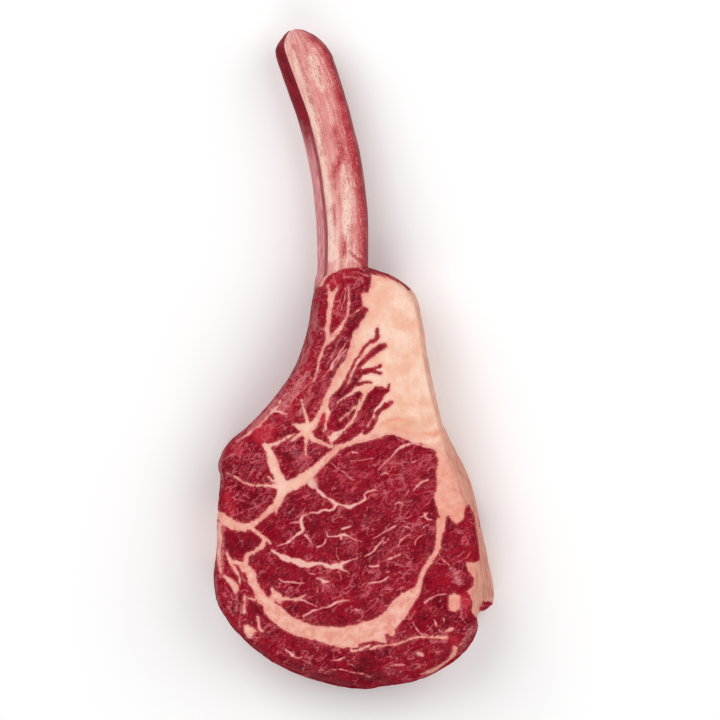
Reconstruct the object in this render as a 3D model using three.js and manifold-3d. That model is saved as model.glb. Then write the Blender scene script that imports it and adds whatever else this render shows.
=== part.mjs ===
// A raw tomahawk steak lying on its cut face: one frenched rib bone, the muscles of the rib eye, and
// the fat that runs between them from one cut face to the other.
// Millimetres, +Z up. The steak lies in the XY plane, the bone points along +Y and the concave inner
// side of the rib faces -X.
import * as THREE from "three";
import { mergeVertices } from "three/addons/utils/BufferGeometryUtils.js";
import Module from "manifold-3d";

const wasm = await Module();
wasm.setup();

// ---------------------------------------------------------------- driving dimensions
const steakThickness = 46; // at the middle of the eye muscle
const neckThickness = 42; // where the bone leaves the meat
const neckLift = 1.5; // the underside clears the table by this much at the neck
const neckStart = -15; // Y where the steak begins to thin towards the neck
const neckEnd = 45; // Y where it has its neck thickness
const boneLeaves = 46; // Y beyond which the rib stands free of the meat
const eyeCentre = [2, -94]; // middle of the round eye muscle
const eyeRadius = 50;
const eyeSwell = 1.2; // the eye stands this much above the rest of the cut face
const rimInset = 4; // how far the cut faces stay inside the widest line of the side
const tailInset = 9; // the same along the tail, where the edge slopes away
const tailStart = -140; // Y below which the edge begins to slope
const tailEnd = -176; // Y where it slopes in full
const sideFatInset = 6; // how far the layer of side fat slopes back at its top and bottom
const gap = 0.3; // between neighbouring pieces
const weld = 0.01; // corners closer together than this are one
const faceCell = 6.2; // size of the cells of the two cut faces
const outlineStep = 6; // spacing of corners along the outline
const seamStep = 5; // spacing of corners along a fat seam
const ribStep = 6.5; // spacing of the rib's sections along its axis
const farAway = 400; // longer than the whole steak

// The widest line of the meat, seen from above, from the inner side of the neck down and round.
const meatOutline = [
  [-21.5, 47], [-22.5, 33], [-26, 12], [-34, -8], [-46, -27], [-60, -39], [-70, -47.5], [-74, -60],
  [-73.8, -75], [-75.5, -95], [-76.7, -118], [-73.5, -135], [-60, -153], [-40, -168.5],
  [-14, -178.3], [8, -180.8], [30, -177], [45, -172], [58, -162.5], [65.5, -152], [67.5, -138],
  [68.5, -120], [65.5, -98], [60, -75], [51.5, -52], [46.5, -30], [40, 0], [36.5, 24], [31.5, 37.5],
  [21, 45.2], [7.5, 49.5], [-7, 51],
];

// The side of the meat as [height, share of the inset], from below the table up past the cut face.
const meatSide = [
  [-1, 0.8], [2, 0.42], [6, 0.12], [12, 0], [29, 0], [36, 0.14], [40.5, 0.42], [44.5, 0.9], [49, 1.6],
];

// The layer of outer fat that bulges from the right side and ends in a step near the tail, and its
// side, written as that of the meat.
const sideFatOutline = [
  [44, -22], [30, -40], [34, -100], [48, -135], [70, -139], [76.7, -134.5], [76.8, -127],
  [74.5, -115], [72, -102], [69.5, -90], [66, -77], [60.5, -62], [54.5, -49],
];
const sideFatSide = [
  [2.6, 0.8], [5.2, 0.3], [11, 0], [19, 0], [26.3, 0.2], [33, 0.6], [39, 1.1],
];

// The thick fat that fills the corner between the neck and the eye. Its far side lies off the meat.
const cornerFatOutline = [
  [9, 60], [9, 37], [5, 31], [4.5, 23], [9, 13], [15, 12], [17, 6], [15, -1], [14, -7], [19, -13],
  [20, -25], [13, -30], [12, -37], [22, -41], [32, -45.5], [42, -48.5], [45, -56], [43.5, -75],
  [46.5, -86], [45.5, -98], [49, -94], [51, -86], [56, -88.5], [60, -80.5], [90, -79], [90, 60],
];

// Fat seams between the muscles: the middle line of each and its width at each point.
const seams = {
  neckSeam: {
    line: [[-18, 54], [-15, 40], [-14.5, 24], [-16.5, 7], [-19.5, -7], [-19, -18], [-17, -27]],
    width: [1.6, 2.4, 2.6, 2.6, 2.6, 3, 4],
  },
  fingerSeam: {
    line: [[8, 26], [1, 13], [-6, -4], [-13, -16], [-17, -26], [-22, -34], [-27, -39]],
    width: [4, 3.6, 4.6, 6, 5, 6, 9],
  },
  starArm: {
    line: [[-26, -39], [-19, -42.5], [-12, -46], [-6, -47.5]],
    width: [4, 3, 2.6, 3],
  },
  roundTopSeam: {
    line: [[-27, -39], [-36, -43.5], [-43, -46], [-49, -49]],
    width: [3, 2, 2.4, 4],
  },
  eyeTopSeam: {
    line: [
      [22, -38], [8, -43], [-3, -45.8], [-12, -49.5], [-20, -55], [-27, -61.5], [-34, -67.5], [-41, -71],
    ],
    width: [5, 3.6, 3.6, 4.6, 5.4, 6, 7, 8],
  },
  roundSeam: {
    line: [[-41, -71], [-44, -63.5], [-47, -56], [-49, -48]],
    width: [7, 6, 4.6, 4.6],
  },
  sideSeam: {
    line: [[-41, -71], [-50, -70.5], [-58, -68.5], [-66, -65], [-84, -60]],
    width: [4, 2.6, 2.2, 2, 2],
  },
  eyeSideSeam: {
    line: [[-41, -71], [-46, -80], [-52, -86], [-59, -90], [-66, -90.5], [-74, -86.5], [-86, -84]],
    width: [6, 4, 3.6, 3.2, 3.2, 4.4, 5],
  },
  cornerSeam: {
    line: [[-58, -90], [-52, -96], [-50.5, -99.5], [-54, -104], [-58.5, -107], [-61, -112]],
    width: [3, 2.6, 3, 3, 3.6, 5],
  },
  cornerSideSeam: {
    line: [[-66, -90.5], [-70, -96], [-70.5, -103], [-67, -109.5], [-60, -112.5]],
    width: [2.6, 2, 2, 2.4, 4],
  },
  eyeUnderSeam: {
    line: [
      [47, -90], [45.5, -102], [40.5, -113], [36, -122], [29, -131], [21, -140.5], [10, -147.5],
      [-3, -150.8], [-17, -149], [-31, -145], [-42, -138.5], [-49.5, -131], [-54, -121], [-58, -114.5],
      [-62, -111],
    ],
    width: [4, 3, 3, 3.2, 7, 9.5, 10, 13, 11, 10.5, 10, 8.5, 6, 5.6, 6],
  },
};

// Each muscle between the seams, and a point that lies in it.
const muscles = {
  eye_muscle: [2, -94],
  cap_muscle: [10, -168],
  rib_side_muscle: [-60, -55],
  neck_muscle: [-6, 20],
  finger_muscle: [5, -30],
  round_muscle: [-33, -53],
  side_muscle: [-58, -78],
  corner_muscle: [-62, -101],
};

// The rib: its axis seen from above and, at each point, the half widths to its concave inner side
// and to its outer side, its half depth, and the height of the axis.
const ribStations = [
  { at: [-48, -43.5], inner: 12, outer: 7, depth: 10, height: 23 },
  { at: [-40, -33], inner: 17, outer: 9, depth: 12.5, height: 23 },
  { at: [-25, -13.5], inner: 20, outer: 10.5, depth: 14, height: 23 },
  { at: [-14.5, 9], inner: 20, outer: 12, depth: 15, height: 23 },
  { at: [-8.6, 32], inner: 17.5, outer: 13.5, depth: 15.5, height: 23 },
  { at: [-6.8, 46], inner: 14, outer: 14.2, depth: 15.5, height: 23 },
  { at: [-6.6, 62], inner: 13.8, outer: 14.2, depth: 15.3, height: 22.9 },
  { at: [-7.2, 80], inner: 14, outer: 14.4, depth: 15, height: 22.6 },
  { at: [-10.9, 110], inner: 14.4, outer: 14.8, depth: 14.4, height: 22 },
  { at: [-18.6, 140], inner: 14.8, outer: 15.2, depth: 14, height: 21.2 },
  { at: [-27.5, 164], inner: 14.5, outer: 15.4, depth: 13.6, height: 20.6 },
  { at: [-29.1, 168.2], inner: 14.4, outer: 13.8, depth: 13.2, height: 20.5 },
  { at: [-31.4, 174.5], inner: 13.6, outer: 10, depth: 11.8, height: 20.5 },
  { at: [-32.6, 177.8], inner: 9.4, outer: 6.4, depth: 9.8, height: 20.5 },
  { at: [-33.5, 180.1], inner: 5.6, outer: 3, depth: 7, height: 20.6 },
  { at: [-33.9, 181.3], inner: 2.6, outer: 1.2, depth: 4, height: 20.6 },
];

// The rib's section, as shares of the half width and the half depth: the inner side slants, and
// meets the upper face in a ridge.
const ribSection = [
  [1, 0], [0.95, -0.45], [0.72, -0.84], [0.3, -0.97], [-0.2, -1], [-0.62, -0.9], [-0.9, -0.62],
  [-1, -0.2], [-0.96, 0.16], [-0.82, 0.5], [-0.62, 0.86], [-0.3, 0.98], [0.1, 1], [0.5, 0.95],
  [0.84, 0.74], [0.96, 0.4],
];

const leanMaterial = new THREE.MeshStandardMaterial({ color: 0x8f1b2c, roughness: 0.42, metalness: 0 });
const fatMaterial = new THREE.MeshStandardMaterial({ color: 0xeebb9c, roughness: 0.5, metalness: 0 });
const boneMaterial = new THREE.MeshStandardMaterial({ color: 0xdca79c, roughness: 0.45, metalness: 0 });

// ---------------------------------------------------------------- small helpers
const smoothStep = (from, to, value) => {
  const share = Math.min(1, Math.max(0, (value - from) / (to - from)));
  return share * share * (3 - 2 * share);
};

const flatCurve = (knots, closed) =>
  new THREE.CatmullRomCurve3(knots.map(([x, y]) => new THREE.Vector3(x, y, 0)), closed, "centripetal");

// Corners evenly spaced along a smooth closed curve through the given knots.
function roundOutline(knots, step) {
  const curve = flatCurve(knots, true);
  const corners = curve.getSpacedPoints(Math.round(curve.getLength() / step));
  corners.pop(); // the last corner repeats the first
  return corners;
}

// A counterclockwise outline with each corner moved outwards by the distance that growAt gives.
function grownOutline(outline, growAt) {
  return outline.map((corner, i) => {
    const before = outline.at(i - 1);
    const after = outline[(i + 1) % outline.length];
    const outward = new THREE.Vector3(after.y - before.y, before.x - after.x, 0).normalize();
    return corner.clone().addScaledVector(outward, growAt(corner));
  });
}

const middleOf = (ring) =>
  ring.reduce((sum, corner) => sum.add(corner), new THREE.Vector3()).divideScalar(ring.length);

// A closed solid skinned over rings of corners; each end is a fan round its middle.
function skin(rings) {
  const count = rings[0].length;
  const lastRing = (rings.length - 1) * count;
  const lowMiddle = rings.length * count;
  const highMiddle = lowMiddle + 1;
  const index = [];
  for (let j = 0; j < count; j++) {
    const next = (j + 1) % count;
    index.push(lowMiddle, next, j);
    index.push(highMiddle, lastRing + j, lastRing + next);
    for (let ring = 0; ring < lastRing; ring += count) {
      index.push(ring + j, ring + next, ring + count + next);
      index.push(ring + j, ring + count + next, ring + count + j);
    }
  }
  const corners = [...rings.flat(), middleOf(rings[0]), middleOf(rings.at(-1))];
  return new THREE.BufferGeometry().setFromPoints(corners).setIndex(index);
}

function toSolid(geometry) {
  const bare = geometry.clone();
  const spare = Object.keys(bare.attributes).filter((name) => name !== "position");
  spare.forEach((name) => bare.deleteAttribute(name));
  const merged = mergeVertices(bare);
  return new wasm.Manifold(
    new wasm.Mesh({
      numProp: 3,
      vertProperties: new Float32Array(merged.attributes.position.array),
      triVerts: new Uint32Array(merged.index.array),
    }),
  );
}

// The surface of a solid, with corners closer together than the weld distance made one.
function toGeometry(solid) {
  const mesh = solid.getMesh();
  const given = new THREE.BufferAttribute(mesh.vertProperties, 3);
  const corners = [];
  const cornerOf = [];
  for (let i = 0; i < given.count; i++) {
    const corner = new THREE.Vector3().fromBufferAttribute(given, i);
    const near = corners.findIndex((other) => other.distanceTo(corner) < weld);
    cornerOf.push(near < 0 ? corners.push(corner) - 1 : near);
  }
  const index = [];
  for (let i = 0; i < mesh.triVerts.length; i += 3) {
    const [a, b, c] = Array.from(mesh.triVerts.slice(i, i + 3), (corner) => cornerOf[corner]);
    if (a !== b && b !== c && c !== a) {
      index.push(a, b, c);
    }
  }
  return new THREE.BufferGeometry().setFromPoints(corners).setIndex(index);
}

// The body with the most volume, which leaves loose scraps behind.
const largestBody = (solid) =>
  solid.decompose().reduce((best, body) => (body.volume() > best.volume() ? body : best));

// ---------------------------------------------------------------- the meat as one block
// An upright wall round an outline, skinned over [height, share of the inset] rings.
function walledBlock(outline, side, insetAt) {
  const rings = side.map(([height, share]) =>
    grownOutline(outline, (corner) => -share * insetAt(corner)).map((corner) => corner.setZ(height)),
  );
  return toSolid(skin(rings));
}

const meatInsetAt = ({ y }) => rimInset + (tailInset - rimInset) * smoothStep(tailStart, tailEnd, y);

function topHeight(x, y) {
  const thinning = (steakThickness - neckThickness) * smoothStep(neckStart, neckEnd, y);
  const fromEye = Math.hypot(x - eyeCentre[0], y - eyeCentre[1]);
  return steakThickness - thinning - eyeSwell * smoothStep(0, eyeRadius, fromEye);
}

const underHeight = (y) => neckLift * smoothStep(neckStart, neckEnd, y);

// A slab wider than the meat, whose two faces are the steak's cut faces.
function faceSlab(outline) {
  const box = new THREE.Box3().setFromPoints(outline).expandByScalar(faceCell);
  const size = box.getSize(new THREE.Vector3());
  const middle = box.getCenter(new THREE.Vector3());
  const across = Math.round(size.x / faceCell);
  const along = Math.round(size.y / faceCell);
  const slab = new THREE.BoxGeometry(size.x, size.y, 1, across, along, 1);
  slab.translate(middle.x, middle.y, 0);
  const position = slab.attributes.position;
  for (let i = 0; i < position.count; i++) {
    const isTop = position.getZ(i) > 0;
    const y = position.getY(i);
    position.setZ(i, isTop ? topHeight(position.getX(i), y) : underHeight(y));
  }
  return toSolid(slab);
}

function meatBlock() {
  const outline = roundOutline(meatOutline, outlineStep);
  const body = walledBlock(outline, meatSide, meatInsetAt);
  const sideFat = walledBlock(roundOutline(sideFatOutline, outlineStep), sideFatSide, () => sideFatInset);
  return body.intersect(faceSlab(outline)).add(sideFat);
}

// ---------------------------------------------------------------- fat and muscles
// An upright prism over an outline, tall enough to pass right through the steak.
function prism(outline) {
  const shape = new THREE.Shape(outline.map(({ x, y }) => new THREE.Vector2(x, y)));
  const depth = 2 * steakThickness;
  const extrusion = new THREE.ExtrudeGeometry(shape, { depth, bevelEnabled: false });
  return toSolid(extrusion.translate(0, 0, -steakThickness / 2));
}

// Half the width of a seam at share t of its length, where the widths stand evenly along it.
function halfWidthAt(width, t) {
  const place = t * (width.length - 1);
  const k = Math.min(width.length - 2, Math.floor(place));
  return THREE.MathUtils.lerp(width[k], width[k + 1], place - k) / 2;
}

// The prism of a seam: its middle line widened to each side, with a point at each end.
function seamPrism({ line, width }, grow) {
  const curve = flatCurve(line, false);
  const steps = Math.max(line.length - 1, Math.round(curve.getLength() / seamStep));
  const offsetFrom = (t, forward, leftward) => {
    const along = curve.getTangent(t);
    const half = halfWidthAt(width, t) + grow;
    const left = new THREE.Vector3(-along.y, along.x, 0);
    return curve.getPoint(t).addScaledVector(along, forward * half).addScaledVector(left, leftward * half);
  };
  const shares = Array.from({ length: steps + 1 }, (_, i) => i / steps);
  const rightSide = shares.map((t) => offsetFrom(t, 0, -1));
  const leftSide = shares.map((t) => offsetFrom(t, 0, 1)).reverse();
  return prism([offsetFrom(0, -1, 0), ...rightSide, offsetFrom(1, 1, 0), ...leftSide]);
}

// All the fat as one prism, grown sideways by the given distance.
function fatPrism(grow) {
  const corner = prism(grownOutline(roundOutline(cornerFatOutline, seamStep), () => grow));
  return Object.values(seams).reduce((sum, seam) => sum.add(seamPrism(seam, grow)), corner);
}

// ---------------------------------------------------------------- the rib
// The rib as a closed solid, grown on all sides by the given distance.
function rib(grow) {
  const axisKnots = ribStations.map(({ at, height }) => new THREE.Vector3(...at, height));
  const axis = new THREE.CatmullRomCurve3(axisKnots, false, "centripetal");
  const spans = ribStations.length - 1;
  const rings = [ribRing(axis, 0, grow)];
  for (let k = 0; k < spans; k++) {
    const pieces = Math.max(1, Math.round(axisKnots[k].distanceTo(axisKnots[k + 1]) / ribStep));
    for (let i = 1; i <= pieces; i++) {
      rings.push(ribRing(axis, k + i / pieces, grow));
    }
  }
  return toSolid(skin(rings));
}

// The rib's section at a place counted in stations from the hidden end.
function ribRing(axis, place, grow) {
  const spans = ribStations.length - 1;
  const k = Math.min(spans - 1, Math.floor(place));
  const size = (key) =>
    THREE.MathUtils.lerp(ribStations[k][key], ribStations[k + 1][key], place - k) + grow;
  const along = axis.getTangent(place / spans).setZ(0).normalize();
  const outward = new THREE.Vector3(along.y, -along.x, 0);
  const centre = axis.getPoint(place / spans);
  return ribSection.map(([across, up]) =>
    centre
      .clone()
      .addScaledVector(outward, across * (across > 0 ? size("outer") : size("inner")))
      .setZ(centre.z + up * size("depth")),
  );
}

// ---------------------------------------------------------------- assembly
const block = meatBlock();

// Where the rib lies in the meat, its inner side is cut flush with the side of the steak.
const beyondMeat = toSolid(
  new THREE.BoxGeometry(farAway, farAway, farAway).translate(0, boneLeaves + farAway / 2, 0),
);
const ribBone = largestBody(rib(0).intersect(block.add(beyondMeat)));

const softBlock = block.subtract(rib(gap));
const fat = largestBody(softBlock.intersect(fatPrism(0)));
const lean = softBlock.subtract(fatPrism(gap).add(fatPrism(0))).decompose();

function asMesh(name, solid, material) {
  const mesh = new THREE.Mesh(toGeometry(solid), material);
  mesh.name = name;
  return mesh;
}

// The body of lean meat that a straight line down through the given point meets.
function leanUnder([x, y]) {
  const start = new THREE.Vector3(x, y, 2 * steakThickness);
  const down = new THREE.Raycaster(start, new THREE.Vector3(0, 0, -1));
  return lean.find((body) => down.intersectObject(asMesh("probe", body, leanMaterial)).length > 0);
}

const steak = new THREE.Group();
steak.add(asMesh("rib_bone", ribBone, boneMaterial), asMesh("fat", fat, fatMaterial));
for (const [name, point] of Object.entries(muscles)) {
  steak.add(asMesh(name, leanUnder(point), leanMaterial));
}

// The origin is under the middle of the whole steak, on the table.
const box = new THREE.Box3().setFromObject(steak);
const middle = box.getCenter(new THREE.Vector3());
steak.position.set(-middle.x, -middle.y, -box.min.z);

export default steak;
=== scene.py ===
# Raw tomahawk steak lying on its cut face.
# The steak is drawn in millimetres as the camera sees it: x to the right, y towards the bare end of
# the rib, z up from the table. Strokes are lists of (x, y, width).
import math
import bpy
import numpy as np
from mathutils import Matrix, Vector, geometry, kdtree


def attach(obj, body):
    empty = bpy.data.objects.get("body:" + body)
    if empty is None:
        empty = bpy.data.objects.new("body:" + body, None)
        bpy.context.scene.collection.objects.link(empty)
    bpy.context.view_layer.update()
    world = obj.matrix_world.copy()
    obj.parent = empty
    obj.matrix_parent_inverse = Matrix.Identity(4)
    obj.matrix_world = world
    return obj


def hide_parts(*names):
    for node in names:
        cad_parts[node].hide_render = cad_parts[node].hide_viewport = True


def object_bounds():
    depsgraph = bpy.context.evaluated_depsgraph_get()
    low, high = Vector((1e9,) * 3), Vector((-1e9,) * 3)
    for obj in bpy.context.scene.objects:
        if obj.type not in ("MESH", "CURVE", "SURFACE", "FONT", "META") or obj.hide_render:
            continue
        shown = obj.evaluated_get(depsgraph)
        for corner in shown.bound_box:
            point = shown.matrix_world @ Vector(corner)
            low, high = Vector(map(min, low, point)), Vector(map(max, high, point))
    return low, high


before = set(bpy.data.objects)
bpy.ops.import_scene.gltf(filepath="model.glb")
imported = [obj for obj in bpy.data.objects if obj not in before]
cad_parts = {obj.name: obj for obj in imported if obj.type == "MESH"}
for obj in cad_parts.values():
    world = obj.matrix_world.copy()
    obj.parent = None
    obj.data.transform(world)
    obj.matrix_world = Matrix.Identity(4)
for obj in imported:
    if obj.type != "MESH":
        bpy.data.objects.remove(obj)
cadBox = [list(corner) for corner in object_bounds()]
drawingLeft, drawingEnd = -76.8, -180.8  # the widest points of the meat in the drawing
shift = np.array([cadBox[0][0] * 1000 - drawingLeft, cadBox[0][1] * 1000 - drawingEnd, 0])
print("frame loaded, drawing shifted by", shift.round(3))


# Small helpers for curves, distances and noise, all on arrays of points in millimetres.
def smoothCurve(knots, step, closed=False):
    # centripetal curve through the knots; columns after x and y are carried along in straight lines
    knots = np.array(knots, float)
    if closed:
        ring = np.vstack([knots[-1:], knots, knots[:2]])
    elif len(knots) == 2:
        ring = np.vstack([2 * knots[0] - knots[1], knots, 2 * knots[1] - knots[0]])
    else:
        ring = np.vstack([2 * knots[0] - knots[1], knots, 2 * knots[-1] - knots[-2]])
    points = []
    for a, b, c, d in zip(ring, ring[1:], ring[2:], ring[3:]):
        first, middle, last = (
            max(np.linalg.norm(q[:2] - p[:2]), 1e-6) ** 0.5 for p, q in ((a, b), (b, c), (c, d))
        )
        leave = ((b - a) / first - (c - a) / (first + middle) + (c - b) / middle) * middle
        arrive = ((c - b) / middle - (d - b) / (middle + last) + (d - c) / last) * middle
        count = max(2, math.ceil(np.linalg.norm(c[:2] - b[:2]) / step * 1.05))
        t = np.arange(count)[:, None] / count
        curve = (
            (2 * t**3 - 3 * t**2 + 1) * b
            + (t**3 - 2 * t**2 + t) * leave
            + (3 * t**2 - 2 * t**3) * c
            + (t**3 - t**2) * arrive
        )
        curve[:, 2:] = (b + (c - b) * t)[:, 2:]
        points.append(curve)
    if not closed:
        points.append(knots[-1:])
    return np.vstack(points)


def evenly(points, count, closed=True):
    # the same line with its points evenly spaced
    line = np.vstack([points, points[:1]]) if closed else points
    gone = np.concatenate([[0], np.cumsum(np.linalg.norm(np.diff(line[:, :2], axis=0), axis=1))])
    marks = np.linspace(0, gone[-1], count + 1)[:count] if closed else np.linspace(0, gone[-1], count)
    return np.column_stack([np.interp(marks, gone, line[:, k]) for k in range(line.shape[1])])


def smoothed(strokes):
    return [smoothCurve(stroke, 0.8) for stroke in strokes]


def ease(value, low, high):
    share = np.clip((value - low) / (high - low), 0, 1)
    return share * share * (3 - 2 * share)


def within(value, begins, full, fades, ends):
    # rises from 0 to 1, stays there and falls to 0 again
    return ease(value, begins, full) * (1 - ease(value, fades, ends))


def strokeDepth(spots, lines, reach=5.0):
    # how far each spot lies inside the nearest of the lines, and below zero outside all of them;
    # a line is taken in short runs, each against the spots near it
    depth = np.full(len(spots), -float(reach))
    run = 14
    for line in lines:
        for first in range(0, len(line) - 1, run):
            piece = line[first : first + run + 1]
            margin = piece[:, 2].max() / 2 + reach
            low, high = piece[:, :2].min(0) - margin, piece[:, :2].max(0) + margin
            near = np.nonzero(((spots > low) & (spots < high)).all(1))[0]
            if not len(near):
                continue
            start, along = piece[:-1], np.diff(piece, axis=0)
            offset = spots[near, None, :] - start[None, :, :2]
            length = np.maximum((along[:, :2] ** 2).sum(1), 1e-9)
            share = np.clip((offset * along[:, :2]).sum(2) / length, 0, 1)
            gap = np.linalg.norm(offset - share[..., None] * along[:, :2], axis=2)
            half = (start[:, 2] + share * along[:, 2]) / 2
            depth[near] = np.maximum(depth[near], (half - gap).max(1))
    return depth


def isInside(spots, outline):
    inside = np.zeros(len(spots), bool)
    for (ax, ay), (bx, by) in zip(outline, np.roll(outline, -1, 0)):
        if ay == by:
            continue
        crosses = (spots[:, 1] < ay) != (spots[:, 1] < by)
        inside ^= crosses & (spots[:, 0] < ax + (spots[:, 1] - ay) / (by - ay) * (bx - ax))
    return inside


def outlineDepth(spots, outline, reach=5.0):
    # the same as strokeDepth for the inside of a closed outline
    rim = np.vstack([outline, outline[:1]])
    edge = strokeDepth(spots, [np.column_stack([rim, np.zeros(len(rim))])], reach)
    return np.where(isInside(spots, outline), -edge, edge)


latticeSide, flatLayer = 61, 17  # the random lattice, and the layer of it that serves flat noise
lattice = np.random.default_rng(11).random((latticeSide,) * 3) * 2 - 1


def softNoise(places, cell, seed=0.0):
    # noise from -1 to 1 whose lumps are about one cell wide
    place = places / cell + seed
    base = np.floor(place).astype(int)
    share = place - base
    share = share * share * (3 - 2 * share)
    total = np.zeros(len(places))
    for corner in np.ndindex(*(2,) * places.shape[1]):
        index = [(base[:, k] + corner[k]) % latticeSide for k in range(len(corner))]
        index += [np.full(len(places), flatLayer)] * (3 - len(corner))
        weight = np.ones(len(places))
        for k, side in enumerate(corner):
            weight *= share[:, k] if side else 1 - share[:, k]
        total += weight * lattice[tuple(index)]
    return total


def stray(places, cell, seeds, amount):
    # how far each place is moved to the side and along, so that what is drawn there isn't too even
    return np.column_stack([softNoise(places, cell, seed) for seed in seeds]) * amount


def makePiece(name, corners, faces, marks, material):
    # a mesh in metres from corners in drawing millimetres; marks are values kept at each corner
    mesh = bpy.data.meshes.new(name)
    mesh.from_pydata(((corners + shift) / 1000).tolist(), [], faces)
    mesh.update()
    for mark, values in marks.items():
        layer = mesh.attributes.new(mark, "FLOAT", "POINT")
        layer.data.foreach_set("value", np.asarray(values, np.float32))
    mesh.shade_smooth()
    mesh.materials.append(material)
    piece = bpy.data.objects.new(name, mesh)
    bpy.context.scene.collection.objects.link(piece)
    return piece


def cornerNormals(corners, faces):
    # which way the surface faces at each corner, from a mesh that is thrown away again
    mesh = bpy.data.meshes.new("loose")
    mesh.from_pydata(corners.tolist(), [], faces)
    normals = np.zeros(len(corners) * 3, np.float32)
    mesh.vertex_normals.foreach_get("vector", normals)
    bpy.data.meshes.remove(mesh)
    return normals.reshape(-1, 3).astype(float)


# Shader maths: a Wire is one output of a node tree and can be used in ordinary sums.
class Wire:
    def __init__(self, tree, socket=None):
        self.tree = tree
        self.socket = socket

    def node(self, kind, settings=None, inputs=None, output=0):
        made = self.tree.nodes.new(kind)
        for name, value in (settings or {}).items():
            setattr(made, name, value)
        for name, value in (inputs or {}).items():
            if isinstance(value, Wire):
                self.tree.links.new(value.socket, made.inputs[name])
            else:
                made.inputs[name].default_value = value
        return Wire(self.tree, made.outputs[output]) if len(made.outputs) else None

    def maths(self, operation, *values):
        return self.node("ShaderNodeMath", {"operation": operation}, dict(enumerate(values)))

    def __add__(self, other):
        return self.maths("ADD", self, other)

    def __sub__(self, other):
        return self.maths("SUBTRACT", self, other)

    def __rsub__(self, other):
        return self.maths("SUBTRACT", other, self)

    def __mul__(self, other):
        return self.maths("MULTIPLY", self, other)

    def __abs__(self):
        return self.maths("ABSOLUTE", self)

    __radd__ = __add__

    def between(self, low, high):
        # 0 below low, 1 above high, with a soft step from one to the other
        settings = {"interpolation_type": "SMOOTHSTEP"}
        inputs = {"Value": self, "From Min": low, "From Max": high}
        return self.node("ShaderNodeMapRange", settings, inputs)

    def grain(self, size, detail=2.0, roughness=0.5, seed=0.0):
        # noise round 0.5 with lumps of the given size in millimetres; self is a place in metres
        inputs = {0: self, 1: (seed, seed, seed)}
        moved = self.node("ShaderNodeVectorMath", {"operation": "ADD"}, inputs)
        inputs = {"Vector": moved, "Scale": 1000 / size, "Detail": detail, "Roughness": roughness}
        return self.node("ShaderNodeTexNoise", {}, inputs)

    def drawnOut(self, degrees, factor):
        # a place whose noise comes out longer in one direction
        inputs = {"Vector": self, "Rotation": (0, 0, math.radians(degrees)), "Scale": (factor, 1, 1)}
        return self.node("ShaderNodeMapping", {"vector_type": "TEXTURE"}, inputs)

    def blend(self, first, second):
        # colour: the first where self is 0 and the second where it is 1
        return self.node("ShaderNodeMix", {"data_type": "RGBA"}, {0: self, 6: first, 7: second}, 2)

    def reading(self, mark):
        return self.node("ShaderNodeAttribute", {"attribute_name": mark}, {}, "Fac")

    def bump(self, strength, distance, height):
        inputs = {"Strength": strength, "Distance": distance, "Height": height}
        return self.node("ShaderNodeBump", {}, inputs)


def paint(red, green, blue):
    # a screen colour, 0 to 255, as the renderer wants it
    parts = [value / 255 for value in (red, green, blue)]
    return [p / 12.92 if p < 0.04 else ((p + 0.055) / 1.055) ** 2.4 for p in parts] + [1]


def tintsOf(piece):
    return {name: paint(*colour) for name, colour in piece["colours"].items()}


def newFinish(name):
    material = bpy.data.materials.new(name)
    material.use_nodes = True
    material.node_tree.nodes.clear()
    start = Wire(material.node_tree)
    return material, start, start.node("ShaderNodeTexCoord", output="Object")


def closeFinish(start, surface):
    shader = start.node("ShaderNodeBsdfPrincipled", {}, surface)
    start.node("ShaderNodeOutputMaterial", {}, {"Surface": shader})


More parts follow.
